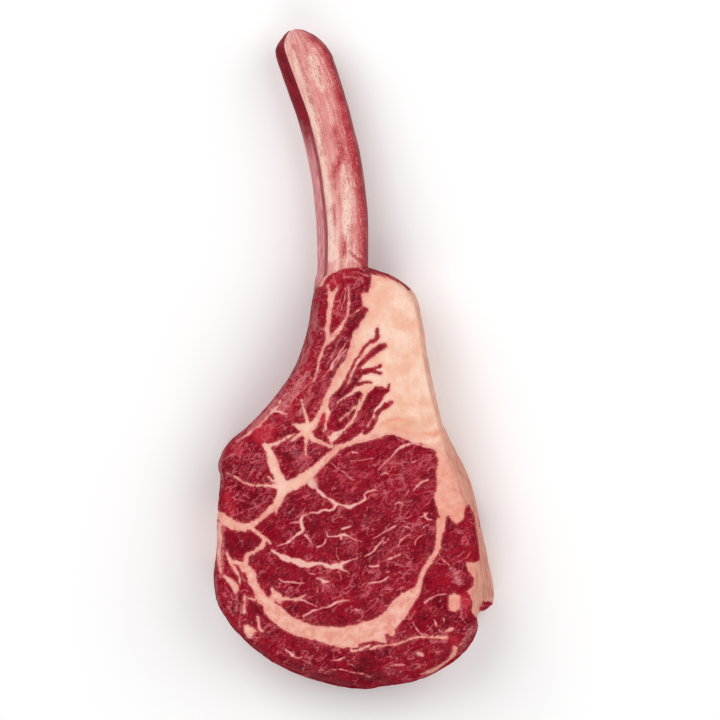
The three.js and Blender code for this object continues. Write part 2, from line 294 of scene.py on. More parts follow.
# The meat: one closed block. The fat, the veins and the colours of the muscles are worked out at each
# corner of its mesh from the strokes below, and the finish turns them into colour.
meat = {
    "thickness": 46,
    "neckThickness": 42,
    "neckLift": 1.5,
    "neckFrom": -15,
    "neckTo": 45,
    "eyeCentre": (2, -94),
    "eyeRadius": 50,
    "eyeSwell": 1.2,
    "outlineStep": 0.8,
    "faceStep": 0.78,
    "underStep": 1.5,
    "rimRings": 9,
    "wallRings": 13,
    "footRings": 5,
    "rim": (4.4, 9.5),  # how far the upper edge is rounded inwards: at the sides, at the tail
    "rimDrop": (7.5, 15),  # how far down the same rounding reaches
    "crisp": 0.4,  # how much sharper the upper edge is on the right,
    "crispAcross": (20, 50),  # from which x to which,
    "crispDown": (70, 95),  # and from which -y to which
    "softer": 2.4,  # how much of that is lost again
    "softDown": (102, 112, 140, 146),  # where the side fat ends
    "bulgeHeights": (1, 9, 17, 38),  # where the bulge of the side fat begins, is full, fades and ends
    "foot": (3.2, 4.5),  # the lower edge: inwards, upwards
    "tailFrom": -140,
    "tailTo": -176,
    "threadSeed": 5,
    "threadStep": 1.1,  # how far the fine marbling grows at a time
    "crossing": (0.25, 65),  # how many of its threads run across the others, at what angle
    "fibres": (38, 1.9),  # which way the fibres run, in degrees, and how drawn out they are
    "waver": 0.5,  # how far the strokes stray sideways, in two sizes of waves
    "shiver": 0.28,
    "wander": 4,  # how far they stray by the time they reach the lower face
    "veinFade": 1.2,  # how much thinner the veins become on the sides
    "dome": 0.35,  # how high each muscle swells
    "groove": 0.2,  # how deep the join of fat and lean lies
    "cord": 0.16,  # how high the veins stand
    "bumps": {  # height, size, seed
        "hills": ((0.45, 19, 2.2), (0.22, 8, 3.3)),
        "fibres": ((0.2, 3.4, 6.6), (0.12, 1.7, 1.1)),
        "wax": ((0.16, 5, 4.9), (0.05, 2, 8.1)),
    },
    "colours": {
        "darkLean": (88, 5, 21),
        "redLean": (167, 20, 42),
        "deepLean": (74, 1, 14),
        "freshLean": (192, 46, 60),
        "besideFat": (202, 88, 94),
        # pale specks: marbling, and painted glints of the wet fibres
        "flecksAndGlints": (206, 86, 100),
        "dullFlecksAndGlints": (186, 116, 130),
        "strands": (216, 110, 118),
        "dullStrands": (196, 134, 146),
        "cream": (248, 212, 192),
        "peach": (240, 184, 158),
        "speckle": (230, 160, 142),
        "grained": (228, 172, 148),
        "pink": (242, 186, 171),
        "rose": (225, 142, 127),
        "dusky": (222, 150, 116),
        "thinFat": (230, 146, 138),
        "redSpecks": (206, 96, 92),
        # the sides of the fat: drier, with painted shade
        "peachStreaks": (232, 144, 118),
        "dryShadedDark": (180, 116, 104),
        "dryShadedPale": (220, 162, 142),
        "thinVein": (206, 98, 104),
        "wideVein": (240, 188, 174),
        "veil": (212, 124, 126),
        "skin": (172, 100, 104),
        # darker lean of the sides, partly painted shade
        "shadedAgedLean": (140, 44, 52),
    },
    "surface": {
        "Coat Roughness": 0.3,
        "Specular IOR Level": 0.0,
        "Subsurface Weight": 0.06,
        "Subsurface Radius": (0.002, 0.0008, 0.0006),
        "Subsurface Scale": 1.0,
    },
}

meatOutline = [
    (-22.5, 33), (-26.4, 12), (-34.6, -8.5), (-47.6, -26), (-59.4, -38.6), (-69, -46.8), (-73.6, -57),
    (-72.8, -66), (-74.2, -79), (-75.4, -92), (-75.6, -105), (-76.7, -118), (-73.8, -134.5),
    (-60.5, -153.6), (-40, -168.5), (-18, -177.2), (0, -180.4), (8, -180.8), (14, -179.4), (30, -176.8),
    (45, -172), (58, -162.5), (65.5, -152), (67.7, -138), (69.4, -120), (67.4, -98),
    (62.2, -75), (52.6, -52), (46.5, -30), (40, 0), (36.5, 24), (31.5, 37.5), (21, 45.2), (8.5, 49.6),
    (0, 51.2), (-7.5, 50.6), (-13.5, 48.2), (-18.4, 43.8), (-21, 38.5),
]

# How far the layer of side fat bulges from the right side, by y.
sideFatBulge = [
    (-140, 0), (-138.5, 3.5), (-134.5, 8), (-129, 8), (-124, 6.9), (-112, 4.4), (-94, 2.8), (-80, 3.6),
    (-66, 4.4), (-52, 3.6), (-39, 1.5), (-34, 0),
]

cornerFat = [
    (9, 60), (8.9, 44.6), (8.6, 39.8), (7.4, 36), (3.8, 35.7), (4.4, 28.7), (7.4, 27.5), (6.2, 23.9),
    (2.7, 18.6), (0.3, 12.1), (-3.2, 0.4), (-8, -7.3), (-11.5, -15), (-15.6, -23.2), (-19.8, -31.5),
    (-12, -48), (-3, -46), (5, -43.5), (12, -41), (22, -41), (32, -45.5), (42, -48.5), (44, -50),
    (45.5, -55), (44.5, -60), (44.5, -70), (43, -76), (45, -81), (46.5, -86), (46.5, -92),
    (45.5, -98), (49, -94), (50.2, -86), (51.4, -85), (53.6, -88.4), (56, -90.2), (58.6, -87.6),
    (59.8, -83.6), (61, -81), (62.6, -79.2), (64, -80.4), (65.2, -82.8), (90, -83), (90, 60),
]

sideFat = [
    (65.2, -82), (66.2, -87), (67.2, -95), (68.2, -102), (69, -107), (68.4, -110.4), (65, -111),
    (60.4, -110.6), (60.8, -113), (63, -116.6), (64.9, -119.4), (64.9, -122.8), (62.4, -125.8),
    (61.4, -126.8), (62.9, -128.4), (63.9, -131.4), (63.9, -137.7), (66.9, -141.6), (90, -141.6),
    (90, -60), (70, -60),
]

fatStrokes = [
    # the thin rim at the neck, and the seam that comes down from it
    [(-18.8, 40.4, 1.6), (-16.4, 44.4, 2.2), (-13.2, 47.4, 2.4), (-9, 49.6, 2.2), (-4.5, 50.8, 1.8),
     (0, 51.2, 1.4), (4, 51, 0.8)],
    [(-14.6, 40.6, 1), (-13.6, 36.6, 1.8), (-12.8, 33, 2.4)],
    [(-8.6, 39.6, 0.8), (-10.4, 36.4, 1.6), (-12, 33.5, 2)],
    [(-12.2, 35.4, 3), (-12.8, 31, 3.2), (-13.5, 26.3, 2.7), (-14.4, 18, 2.6), (-15, 11, 2.2),
     (-17.4, 5, 1.6), (-19, -1, 1.4), (-21, -8, 1), (-22.5, -12, 0.5)],
    [(-3.4, 40, 0.8), (-3.2, 30, 1.2), (-5, 21.5, 1.6), (-8.5, 15.7, 2.6), (-12, 11.5, 2.4),
     (-14.5, 9, 1.8)],
    # from the corner fat down to the star between the muscles
    [(1.5, 14, 4.5), (0, 8.6, 3.8), (-3.2, 0.8, 3.6), (-8, -7.3, 4), (-11.5, -15, 4.4),
     (-15.2, -23, 4.2), (-17.6, -28, 3.6), (-20.1, -33, 3.6), (-23.6, -37, 4.8)],
    [(-23.6, -37, 5), (-27.5, -37.4, 5), (-31, -36.6, 2.6), (-33.5, -36, 1)],
    [(-26, -39, 6), (-26.5, -42.9, 2.8), (-26.5, -47.3, 1.2), (-26.5, -52.3, 0.6)],
    [(-24.5, -41.5, 4), (-22, -43.9, 2.8), (-18.6, -45.3, 2.2), (-14.7, -46.8, 1.7), (-12, -48, 1.4)],
    [(-25, -36, 2.6), (-26.2, -32, 1.6), (-28, -26.6, 1.2), (-29, -22, 0.9)],
    [(-28, -40.5, 2.6), (-31.5, -42.4, 1.8), (-34.5, -44.3, 1.2)],
    [(-13, -26, 1.2), (-15.2, -33, 1.1), (-17.3, -39, 1.5)],
    # over the eye and out to the left side
    [(24, -39, 4), (18, -39.6, 4.2), (12, -41.3, 3.6), (5, -43.5, 3.6), (-3, -45.6, 3.8),
     (-8, -47.8, 3.6), (-12.2, -51.3, 3.7), (-18.6, -57.2, 4.1), (-23.6, -61.7, 5), (-28.5, -65.6, 6),
     (-34.5, -69, 7), (-38.4, -69.9, 7), (-40.4, -74.5, 5), (-42.4, -79, 4.2), (-45.3, -81.8, 3.5),
     (-49.3, -85.5, 3), (-54.7, -89.4, 3.4), (-59.7, -91.6, 4.2), (-64.6, -90.9, 4.6),
     (-69.1, -88.4, 5.8), (-73, -86, 4.6), (-78, -84, 4)],
    [(-42.6, -81, 2), (-42.9, -84.6, 0.7)],
    [(-48.8, -47, 2.6), (-46.3, -51.3, 4), (-45.1, -54.7, 5.6), (-43.9, -58.7, 5.4), (-42.2, -62.4, 5),
     (-40.4, -66, 6.5)],
    [(-33, -40.9, 1), (-38.4, -43.9, 1.4), (-42.4, -45.8, 1.7), (-46.5, -47.4, 2.2)],
    [(-40, -69.5, 4), (-46.3, -69.1, 2), (-50.3, -68.6, 1.3), (-56.2, -68.3, 1.1), (-61.2, -66.6, 1.2),
     (-63.7, -64.6, 1), (-66.6, -63.1, 0.9), (-69.6, -62.2, 0.8)],
    [(-47.5, -64, 0.7), (-44.6, -66, 1.3), (-42, -67, 2)],
    # the band under the eye
    [(46.5, -88, 4), (46.6, -93, 3.9), (45.8, -99, 3.4), (44, -105.5, 3), (41.6, -109.5, 2.6),
     (39.2, -113.4, 2.6), (37.2, -116.9, 2.8), (35.7, -120.9, 2.9), (34.2, -125.3, 3.8),
     (32.4, -127.8, 5.6), (29.3, -130.3, 8.2), (24.8, -135.7, 10.4), (21.4, -140.2, 10.6),
     (17, -144, 10.4), (12.5, -146.4, 10), (7, -148.6, 11.4), (0, -151, 12.4), (-6, -151.6, 12),
     (-10.5, -151.3, 10.8), (-18.2, -150, 8.4), (-24.1, -148.5, 7.6), (-30.5, -146.5, 8.3),
     (-36.5, -143.5, 8.8), (-42.4, -138.8, 9.2), (-45.8, -135.2, 8.4), (-50.3, -131, 6.2),
     (-52.5, -126.7, 4.5), (-54.8, -122.3, 4.9), (-56.3, -117.8, 5.3), (-58.7, -115.2, 5),
     (-61.2, -112.8, 4.2)],
    [(19, -147, 5), (20.2, -149, 3.6)],
    [(10.5, -150.5, 6), (13.4, -151.6, 6), (16.2, -152.4, 3.8)],
    [(-45.2, -125, 1), (-43.9, -127.5, 3), (-42.6, -130.5, 6), (-43, -133, 6)],
    [(-41, -131.2, 2.4), (-38.9, -130.7, 2.1), (-35.5, -130.2, 1.5), (-31.5, -130.7, 1.4),
     (-29.5, -129.7, 1.3), (-26.6, -128.2, 0.7)],
    # round the small muscle at the left
    [(-59.7, -111, 3), (-58.7, -107.4, 2.1), (-56.7, -105.7, 1.9), (-53.3, -104.1, 2),
     (-50.4, -101.8, 2.5), (-49.3, -99.3, 2.3), (-50.5, -97.1, 2), (-52.8, -94.5, 1.8),
     (-56.2, -91.6, 2)],
    [(-49.6, -97.4, 1.9), (-47.3, -98.8, 1.7), (-45.8, -100.7, 0.9)],
    [(-74, -90, 3), (-73.9, -97, 3.2), (-74, -104, 2.6), (-73.6, -111, 2), (-72.6, -117, 1)],
    [(-69.9, -104.9, 1.3), (-68.1, -109.9, 2.1), (-65.2, -114.3, 1.9), (-62.7, -118.8, 1.5),
     (-62.2, -121.8, 1.2)],
    [(-68, -110, 1.8), (-64.5, -111, 2.2), (-61, -112, 3)],
    [(-71, -118.6, 1.6), (-67.1, -121.8, 3), (-65.2, -123.9, 4), (-64.7, -127.2, 2.2)],
    [(-59.3, -128.5, 1), (-59.7, -133, 1.1), (-60.2, -137.4, 1.9)],
    [(-58.7, -129.7, 0.8), (-54.5, -131.2, 1.4)],
    [(-53, -139.6, 1.4), (-52.3, -144, 1.5), (-51.3, -147.3, 1.7), (-50.3, -148.1, 2)],
    [(-59, -145.3, 2.4), (-57.6, -148.4, 5.6), (-57.6, -151, 3.2)],
    [(-57, -147.4, 4), (-54.2, -148.1, 1.8)],
    # strands below the band, and the pale rim at the lower right
    [(9, -157.8, 1.2), (12.4, -156.4, 1.6), (17.9, -155.6, 1.1), (22.8, -155, 1.4), (26.8, -154.3, 1.3),
     (29.8, -152.7, 1.1), (34.7, -151.7, 1), (39.7, -151.3, 1), (44.6, -151.7, 1.4), (50, -151.6, 2)],
    [(-2, -159, 1.1), (3, -158.2, 1.5), (7.5, -155.8, 1.2), (10.5, -153, 1)],
    [(55, -157.6, 2.4), (53.8, -161, 2.4), (50.4, -165.4, 1.6), (46.8, -168, 2.2), (42, -170.3, 2.6),
     (37, -172, 1.4)],
    [(52.8, -147.2, 2), (50.2, -148.6, 1.6)],
    [(52.7, -129.6, 3.2), (52.9, -135.6, 3)],
    [(54.4, -129, 3.4), (54.6, -136.2, 3.2)],
    [(56.2, -129.6, 3), (56, -134.8, 2.8)],
]

# Lean that lies within the fat: the fingers of the corner, and islets in the band.
leanStrokes = [
    [(12.4, 16.6, 1.6), (12.1, 11.5, 2.2), (7.4, 8, 1.8), (3.2, 2.7, 1.6), (-0.3, -2.6, 1.5),
     (-3.2, -8.5, 1.8), (-5.6, -13.8, 2.2), (-7.6, -17.9, 3.2), (-11.2, -22, 5), (-12.2, -26, 4)],
    [(16.5, 7.2, 2.5), (13.9, 6.2, 3.8), (10, 3.2, 3.4), (6.2, 0.4, 2.6), (3.3, -2.6, 2.4),
     (0.5, -6, 2.5)],
    [(13.9, -3.2, 1.5), (9.8, -5.6, 2.2), (5, -6.8, 3.4), (2.7, -7.6, 5), (-0.3, -11.4, 5.2),
     (-2.4, -15.2, 4.2), (-6, -19.5, 3.4), (-9.4, -22, 3.2)],
    [(14.2, -7.6, 1.4), (9.8, -6.6, 2)],
    [(8.8, -12.2, 1.6), (3.3, -13.2, 2), (0, -13.4, 2)],
    [(18.8, -14, 1.2), (18.2, -17, 1.6)],
    [(18.2, -17, 2), (13.5, -18, 6.6), (10.8, -21, 9.6), (7.4, -25.5, 9.4), (5.2, -30.5, 9.4),
     (2, -35.5, 9.4), (-2.4, -40, 7.6), (-7.2, -43.8, 4.4), (-11, -46, 2)],
    [(20.2, -23.6, 2), (16.5, -25.6, 3.4), (13.5, -28, 3.2), (11.5, -32, 3), (9.8, -36, 3), (6, -40, 3)],
    [(3, -19.2, 3.6), (-1.2, -22.2, 7), (-4.2, -26.8, 10.4), (-7.4, -31.2, 11.6), (-10, -35.8, 10),
     (-12.8, -39.4, 5)],
    [(-16.6, -30, 2), (-17.6, -34.5, 3), (-18.4, -38.6, 1.8)],
    [(5.6, 26.3, 3), (0.9, 21, 3)],
    [(7, 49.8, 4.6), (13.6, 48, 3.4), (20, 45.2, 2.8), (26, 41.8, 2.2), (30.4, 38, 1)],
    [(9, 47.2, 1), (14, 45.8, 0.9), (17, 44.4, 0.7)],
    [(-60.2, -117.8, 2.4), (-60.2, -120.4, 3.2)],
    [(-57.2, -124.4, 1.8), (-56.3, -126.7, 2.8), (-55.6, -129.2, 1.6)],
    [(-52.3, -133.8, 1.4), (-50.7, -135.6, 2.8), (-50.5, -139, 1.8)],
    [(-42.6, -132.8, 1.2), (-41, -133.6, 1.4)],
    [(3, -155.4, 1.6), (8, -154.4, 2), (14, -154.4, 1.4)],
    [(17.6, -150.4, 1), (18.2, -153, 2)],
    [(16.6, -146, 0.9), (17.4, -146.2, 0.9)],
    [(70.5, -133.5, 2.6), (74.6, -133.4, 3.4)],
    [(69.5, -137, 3), (74, -136, 3)],
]

# Thin lines and patches of fat that cross the fingers.
fatLines = [
    [(12.1, 8.6, 0.9), (2.7, -0.2, 0.9), (-2.1, -10.2, 0.9), (-3.5, -13, 0.7)],
    [(5, -3.8, 1.9), (12.1, 0.4, 2.1)],
    [(8.6, -15, 1.7), (2.7, -16.7, 1.5), (-3.2, -19.6, 1.3), (-8.5, -23.2, 1)],
    [(18, -22, 1.3), (14.5, -24.5, 1.3), (11.5, -27.9, 1.2), (10.3, -32.1, 0.8)],
    [(7.4, -17.4, 1.6), (3.9, -23.2, 1.5), (1.3, -29.1, 1.4), (-2.2, -35, 1.2), (-6.6, -38.6, 1.4),
     (-10, -40.5, 1.6), (-12.7, -42, 1)],
    [(0.5, -26, 1), (-4, -30, 1), (-8, -33.5, 0.7)],
    [(-2.1, 23.4, 0.7), (4.4, 28.1, 0.7)],
]

veins = [
    # between the neck's two seams
    [(-5.4, 8, 0.9), (-9.6, 1, 1.3), (-13.4, -5, 1.2), (-16.4, -10, 0.8)],
    [(-4.6, 5.4, 0.8), (-8.2, 0, 1), (-12, -5.6, 0.8)],
    [(-9.6, 16.4, 0.8), (-12.6, 13, 1.1), (-15.6, 9.2, 0.8)],
    [(-4.6, 38, 0.6), (-5.6, 34, 0.9), (-7.8, 27, 0.8)],
    [(-12, 46, 0.8), (-10.6, 42, 1), (-9.8, 39, 0.8)],
    [(-9, 49.6, 1.2), (-4, 50.2, 1.1), (1, 49.8, 1), (6, 48.4, 0.9)],
    [(-1, 46.8, 0.8), (4, 46.4, 1), (8, 44.8, 1)],
    # along the rib side
    [(-34, -13.4, 0.8), (-38.5, -20.4, 1.3), (-43, -26.6, 2), (-49.4, -33.6, 1.5), (-56.4, -39.7, 1.8),
     (-64, -45.6, 1.2)],
    [(-36.6, -29.8, 1), (-40.5, -28.8, 1.8), (-45, -27.4, 2.2)],
    [(-26, -14, 0.8), (-30, -19, 1), (-33, -21, 0.8)],
    # upper part of the eye
    [(30, -45.5, 1.9), (26, -47.5, 1.8), (22, -51, 1.6), (18, -55, 1.3), (15, -58, 1.1),
     (13.6, -60.5, 0.6)],
    [(29, -47, 1.2), (32, -46, 1.4), (37, -47.5, 1.4), (42, -49, 1.7), (44, -50, 1.7)],
    [(-24.5, -64.5, 4.8), (-22.8, -67.5, 4.3), (-21.5, -70, 3.1), (-19, -72.5, 1.8), (-16, -75, 1.9),
     (-12.5, -77.5, 1.9), (-9.5, -79.2, 2.4), (-5, -80.2, 1.8), (-2.6, -80.3, 2.2), (1, -79, 1.7),
     (4, -77.6, 1.6), (5.8, -76, 1.8), (5.6, -74, 1.6), (7, -72.5, 1.2), (10.5, -71.2, 1.3),
     (13, -71.4, 0.7)],
    [(-10, -79.6, 1.9), (-12.3, -82.3, 2.8), (-16, -82.4, 1.7), (-19, -83.4, 1.4), (-22, -84.2, 1),
     (-25, -84.6, 1.2), (-28, -85.8, 1.4)],
    [(-12, -56.5, 0.7), (-8, -60, 0.8), (-4, -63, 0.8), (-1, -65.3, 1.1), (0.8, -65.5, 1)],
    [(-2, -56, 0.6), (4, -55, 0.7), (10, -54.5, 0.6)],
    [(-1, -51.2, 1.3), (1.5, -51.6, 1)],
    [(14.5, -63.4, 1), (17, -62.5, 1.3), (18.8, -62.8, 0.8)],
    [(31, -56.4, 1.3), (33.4, -55.8, 1.1)],
    [(32.3, -71.3, 1.2), (34, -69, 1.4), (36.5, -67.2, 1.4), (40.5, -66, 1.1)],
    [(28, -74, 0.8), (30, -71, 0.8)],
    [(22.5, -78.8, 1.1), (25.3, -78, 1), (27.5, -79.6, 0.8)],
    [(38.2, -83.8, 1), (38.8, -86, 1.6), (40, -87.4, 1.1), (42.6, -87.8, 1)],
    [(36, -85.6, 0.8), (38.6, -84.8, 1.4), (40, -83.4, 0.8)],
    [(37.6, -91.2, 1.1), (40.6, -90.3, 1.1)],
    # middle of the eye
    [(-28, -85.8, 1.4), (-29.4, -88, 2.3), (-29.2, -91, 2.3), (-28.4, -93, 1.8), (-31.3, -95.6, 1.8),
     (-34.5, -98, 1.7), (-37.2, -99.9, 1.8), (-40, -101, 1.1), (-42.4, -101.8, 0.7)],
    [(-30, -88.4, 1.7), (-32.5, -88.6, 1.1), (-35, -89.5, 0.7)],
    [(-27, -96, 1.4), (-25.4, -98, 1.6), (-23.4, -99.8, 1)],
    [(-16.6, -93.2, 0.7), (-15.4, -94.8, 1.2), (-14.6, -96, 1.4), (-11, -96.4, 1.2), (-7.6, -95.9, 2.2),
     (-3.4, -96.3, 1.2), (-0.2, -97.5, 1.1), (3.6, -99, 0.7)],
    [(-7.6, -96.4, 1.7), (-7.5, -98.4, 1.6)],
    [(-6.5, -92.9, 1.3), (-4, -92.2, 1.6), (-2, -91.6, 1.1)],
    [(-16.2, -97.6, 1.1), (-16.6, -100.2, 1.3), (-17.8, -101.8, 1.4), (-20.4, -102.7, 1.1)],
    [(-10, -102.5, 0.7), (-10, -106, 0.7), (-8.8, -109.5, 0.8)],
    [(10, -98.5, 0.6), (14, -95.8, 0.8), (18.5, -92.8, 1.1), (22.5, -90.8, 1.4)],
    [(6, -107.6, 1), (8.5, -105.5, 1.7), (11, -103.4, 1.9), (13, -101.6, 1.2), (15.5, -99.6, 0.7)],
    [(13.5, -100.4, 0.7), (16, -97, 1)],
    [(15.6, -101.5, 0.7), (18.5, -98, 1)],
    [(17.4, -109.2, 1.1), (20, -108.2, 1.7)],
    [(21.8, -107.6, 1), (25, -106.2, 1.1)],
    [(24, -102.4, 0.8), (24.8, -99, 1.1), (27.2, -96.9, 1.6), (30, -95.6, 0.8)],
    [(26, -91, 1), (29, -91.6, 1), (31.6, -93.6, 0.8)],
    [(32.8, -101.4, 0.8), (33.6, -98.4, 1.1), (36.2, -96.8, 1.4), (38.4, -95.8, 0.8)],
    [(8, -113, 1), (10.4, -113.2, 1.7), (12, -112.6, 1.9)],
    # the pale band across the eye and its forks
    [(-45.6, -104, 1.4), (-42.5, -106, 2.8), (-40, -107.2, 3.4), (-34.5, -109.2, 4), (-30.5, -110.4, 4.2),
     (-26.7, -111.5, 4.4), (-24, -111.8, 3.6), (-20.5, -111.7, 2.2), (-17, -111.8, 2.4),
     (-13.5, -112.8, 3), (-10, -112.8, 3.6), (-7.8, -113.4, 3.4)],
    [(-8.4, -112.8, 2.2), (-6.5, -111.1, 2), (-4, -110.2, 1.6), (-1, -109.4, 1.1), (2, -108.5, 0.7)],
    [(-8, -114, 2.3), (-6, -115, 1.4), (-4, -116, 1.2), (-2.5, -117.2, 0.7)],
    [(8, -121.5, 1.2), (11, -121.5, 1.3), (14, -121, 1.4), (17, -119.8, 1.4), (19, -118.4, 1.2)],
    [(17, -115.8, 0.8), (18.6, -115.4, 1)],
    [(-20, -119.6, 1.1), (-17.8, -120, 2), (-16.6, -121.4, 2.4), (-14, -121.6, 1.2)],
    [(-17, -121.5, 1.6), (-16.2, -123.2, 1)],
    [(-19.4, -124.5, 1), (-20.2, -127.4, 0.7)],
    [(-24.2, -116.6, 0.8), (-21.4, -117, 0.8)],
    # lower part of the eye
    [(-41.5, -120.2, 1), (-38.5, -121.2, 1.3), (-35, -121.8, 1.1), (-31, -122.3, 1), (-28, -122.3, 0.6)],
    [(-29.6, -131.4, 1.6), (-26.5, -132.2, 1.2), (-24.1, -133.1, 1.1), (-20.6, -134.3, 0.8)],
    [(-28, -140, 1.4), (-24.5, -137.8, 1.4), (-18.5, -136, 1.2), (-13.5, -134.3, 1.6), (-8, -132, 1.3),
     (-4, -130.8, 1)],
    [(0.6, -136.2, 1.4), (2, -136.6, 1.2)],
    [(18.5, -125, 1), (21, -125, 1)],
    [(17, -134.4, 0.8), (19.4, -133.6, 1)],
    # the muscle round the eye
    [(45.6, -104, 0.7), (47.4, -108, 0.9), (49.8, -110.8, 0.8), (51.4, -112.4, 0.9)],
    [(38.4, -132.8, 1.1), (42, -130, 1.2), (45, -128.4, 1.2), (50, -128.2, 1)],
    [(31.7, -143.6, 1), (34.7, -147, 1.4), (36.7, -149.6, 1.2), (39.7, -150.1, 0.8)],
    [(43.4, -142.4, 1.8), (44.6, -145.6, 1.1)],
    [(48.4, -141.2, 1.3), (48.8, -143, 1)],
    [(46.2, -147.4, 1.6), (47, -148.2, 1.2)],
    [(-37, -157.9, 1.1), (-34, -160.9, 1.9), (-31.5, -162.8, 1.8), (-28.5, -163.1, 1.1)],
    [(-28.1, -164.3, 1), (-25.1, -165.7, 1.7), (-22.6, -166.8, 1.1)],
    [(-20, -169, 0.8), (-12, -169, 1.1), (-5, -170, 1.1), (5, -172, 1.1), (10, -174, 0.8)],
    [(-12, -164.1, 1), (-8, -163.8, 1.2), (-5, -162.6, 1)],
    [(19.4, -166.9, 1), (24.3, -165.9, 1.2), (27, -166.4, 0.7)],
    [(34, -160.2, 2.2), (36.2, -161, 2.4)],
]

# Places as (x, y, radius, amount). Tone runs from dark (-1) to bright red (1); where it is low on the
# corner fat, the fat turns darker tan, partly painted shade in its hollows.
toneSpots = [
    (-11.5, 40, 6, 0.7), (-9, 27, 5, 0.5), (-11.5, 18, 4, 0.4), (0.3, 34, 5, -0.5), (-1, 22, 5, -0.4),
    (-3, 10, 4, -0.4), (5.5, 40.5, 5, -0.3), (-3, 46, 8, 0.5), (-50, -40.5, 6, 0.9), (-30, -20, 9, 0.3),
    (-24, -5, 7, 0.3), (-60, -56, 13, -0.25), (-28, -53, 12, -0.3), (-58, -78, 12, -0.2),
    (-60, -101, 9, -0.35), (60, -131, 5, 0.7), (54, -151.6, 4, 0.6), (-42, -133, 4, 0.6),
    (0, -178, 22, -0.3), (-35, -168, 18, -0.2), (40, -165, 14, 0.15), (57, -100, 12, 0.15),
    (30, -62, 16, 0.25), (-5, -65, 16, 0.15), (5, -90, 18, -0.1), (-25, -120, 18, -0.1),
    (20, -125, 16, 0.1), (-5, -130, 14, 0.2), (-45, -160, 14, 0.1), (-66, -140, 8, 0.2),
    (-69, -75, 4, 1), (-68, -82, 4, 0.8), (-65, -50, 5, 0.6), (46, -121, 7, 0.5), (46.8, -132.5, 4, -0.5),
    (61, -142, 4, -0.5), (-47, -92, 6, 0.1), (-33, -82, 7, -0.5), (60.5, -131.5, 3, 0.8),
    (-31.4, -50.2, 4, -0.5), (62, -150, 4, -0.5), (-41.5, -133.2, 2.6, 1), (-50, -38, 8, 0.7),
    (-38, -26, 9, 0.6), (-62, -47, 6, 0.5), (-22, 20, 4, 0.4), (0, -176, 24, -0.2),
    (30, -37, 5, -0.7), (39, -35, 5, -0.6), (20, -34, 6, -0.4), (46, -62, 4, -0.2), (30, 14, 7, 0.4),
    (24, 34, 6, 0.3), (26, -12, 8, 0.3), (13, 30, 3, -0.3), (52, -77, 6, 0.4), (-17, -32.4, 4, 1.3),
    (-10, 3, 6, -0.3), (0, -14, 7, -0.35), (5, -25, 8, -0.3), (-8, -28, 7, -0.3),
]

# Places where the marbling is dense or rare.
marbleSpots = [
    (28, -62, 17, 0.9), (0, -62, 12, 0.1), (30, -95, 16, 0.55), (-5, -105, 18, 0.2), (-18, -121, 4, 0.9),
    (-21, -126, 3, 0.6), (15, -115, 14, 0.4), (-57, -56, 11, 0.8), (-28, -53, 11, 0.8),
    (-57, -78, 11, 0.7), (-60, -101, 8, -0.8), (24, -163, 16, 0.4), (52, -118, 9, 0.3),
    (55, -142, 8, 0.4), (0, -177, 20, -0.7), (-10, 30, 12, 0.1), (-50, -120, 8, 0), (-34, -82, 7, 0.7),
    (-48, -90, 7, -0.7), (46, -121, 7, -0.7), (-15, -18, 6, 0.7), (-8, 3, 6, 0.8),
    (-44, -28, 12, 0.9), (-32, -12, 10, 0.7), (-33, -50, 3, 0.7), (-66, -128, 7, 0.5),
    (46, -132, 6, -0.4), (-30, -162, 18, 0.2), (-14, -22, 6, 0.4), (2, -30, 8, 0.3),
    (-20, 0, 8, 0.5),
]

# Pink tissue that veils the lean: (x, y, width).
pinkStrokes = [
    [(-21.6, -65, 3), (-21, -69.5, 3)],
    [(52.6, -113.6, 1.4), (55, -116.2, 3), (56.4, -119.2, 4), (56.8, -121.4, 2.6)],
    [(60, -122.6, 1), (57, -123, 2)],
    [(52.8, -147.5, 2), (48.1, -149.5, 1.4)],
    [(35.1, -161, 3), (37, -161.5, 2)],
    [(41, -153.8, 1), (46, -154, 1.4), (50, -153.6, 1.4)],
    [(55, -158.4, 4), (51, -165, 3.4), (44, -170, 4), (38, -172.4, 2)],
    [(62.9, -146.6, 1.6), (58, -155.5, 1.8)],
    [(-7, 12, 1), (-11, 4, 1.4), (-15, -4, 1.2)],
    [(-6, 44.4, 1), (0, 44.8, 1.4), (5, 42.4, 1)],
    [(-26, -8, 3), (-33, -18, 4.6), (-39, -27, 5)],
    [(-24, -20, 2), (-30, -30, 3)],
    [(4.6, 38, 1), (6.6, 33, 0.8)],
    [(-42, -22, 2.6), (-49, -31.5, 3.4), (-57, -39, 3)],
    [(-69, -46, 1.5), (-73, -57, 1.8), (-72, -66, 1.6)],
    [(-65.5, -58.4, 1), (-65.5, -61, 1)],
    [(-74, -86, 4), (-73, -98, 4.5), (-72.6, -110, 3.4), (-72, -117, 1.6)],
    [(-64.5, -125, 1), (-64, -137, 1.4)],
    [(-69, -134.6, 0.9), (-66, -139.6, 0.9)],
    [(-61.5, -135, 1), (-62.5, -147, 1.2)],
    [(52.4, -136.8, 1.2), (56.6, -136, 1.4), (57.8, -132, 2), (57.2, -128.8, 1.6)],
    [(-21.4, -8, 1.2), (-26, -20, 1.4), (-31, -25, 1.2)],
    [(-46, -66.8, 1.4), (-42.6, -68, 2)],
]

# Grey-mauve skin at the sides: (x, y, width).
skinStrokes = [
    [(-19.5, 44, 2.5), (-21.5, 36, 3), (-22, 25, 4.5), (-24, 12, 5), (-28, 2, 5.5), (-34, -9, 4)],
    [(-37, -13, 2.5), (-46, -26, 3), (-55, -36, 3)],
    [(66, -144, 3), (62, -153, 3.5), (57, -160, 2)],
    [(-74, -57, 2), (-75, -72, 2.2)],
    [(-76, -100, 2.4), (-77, -116, 3), (-73, -134, 2)],
]

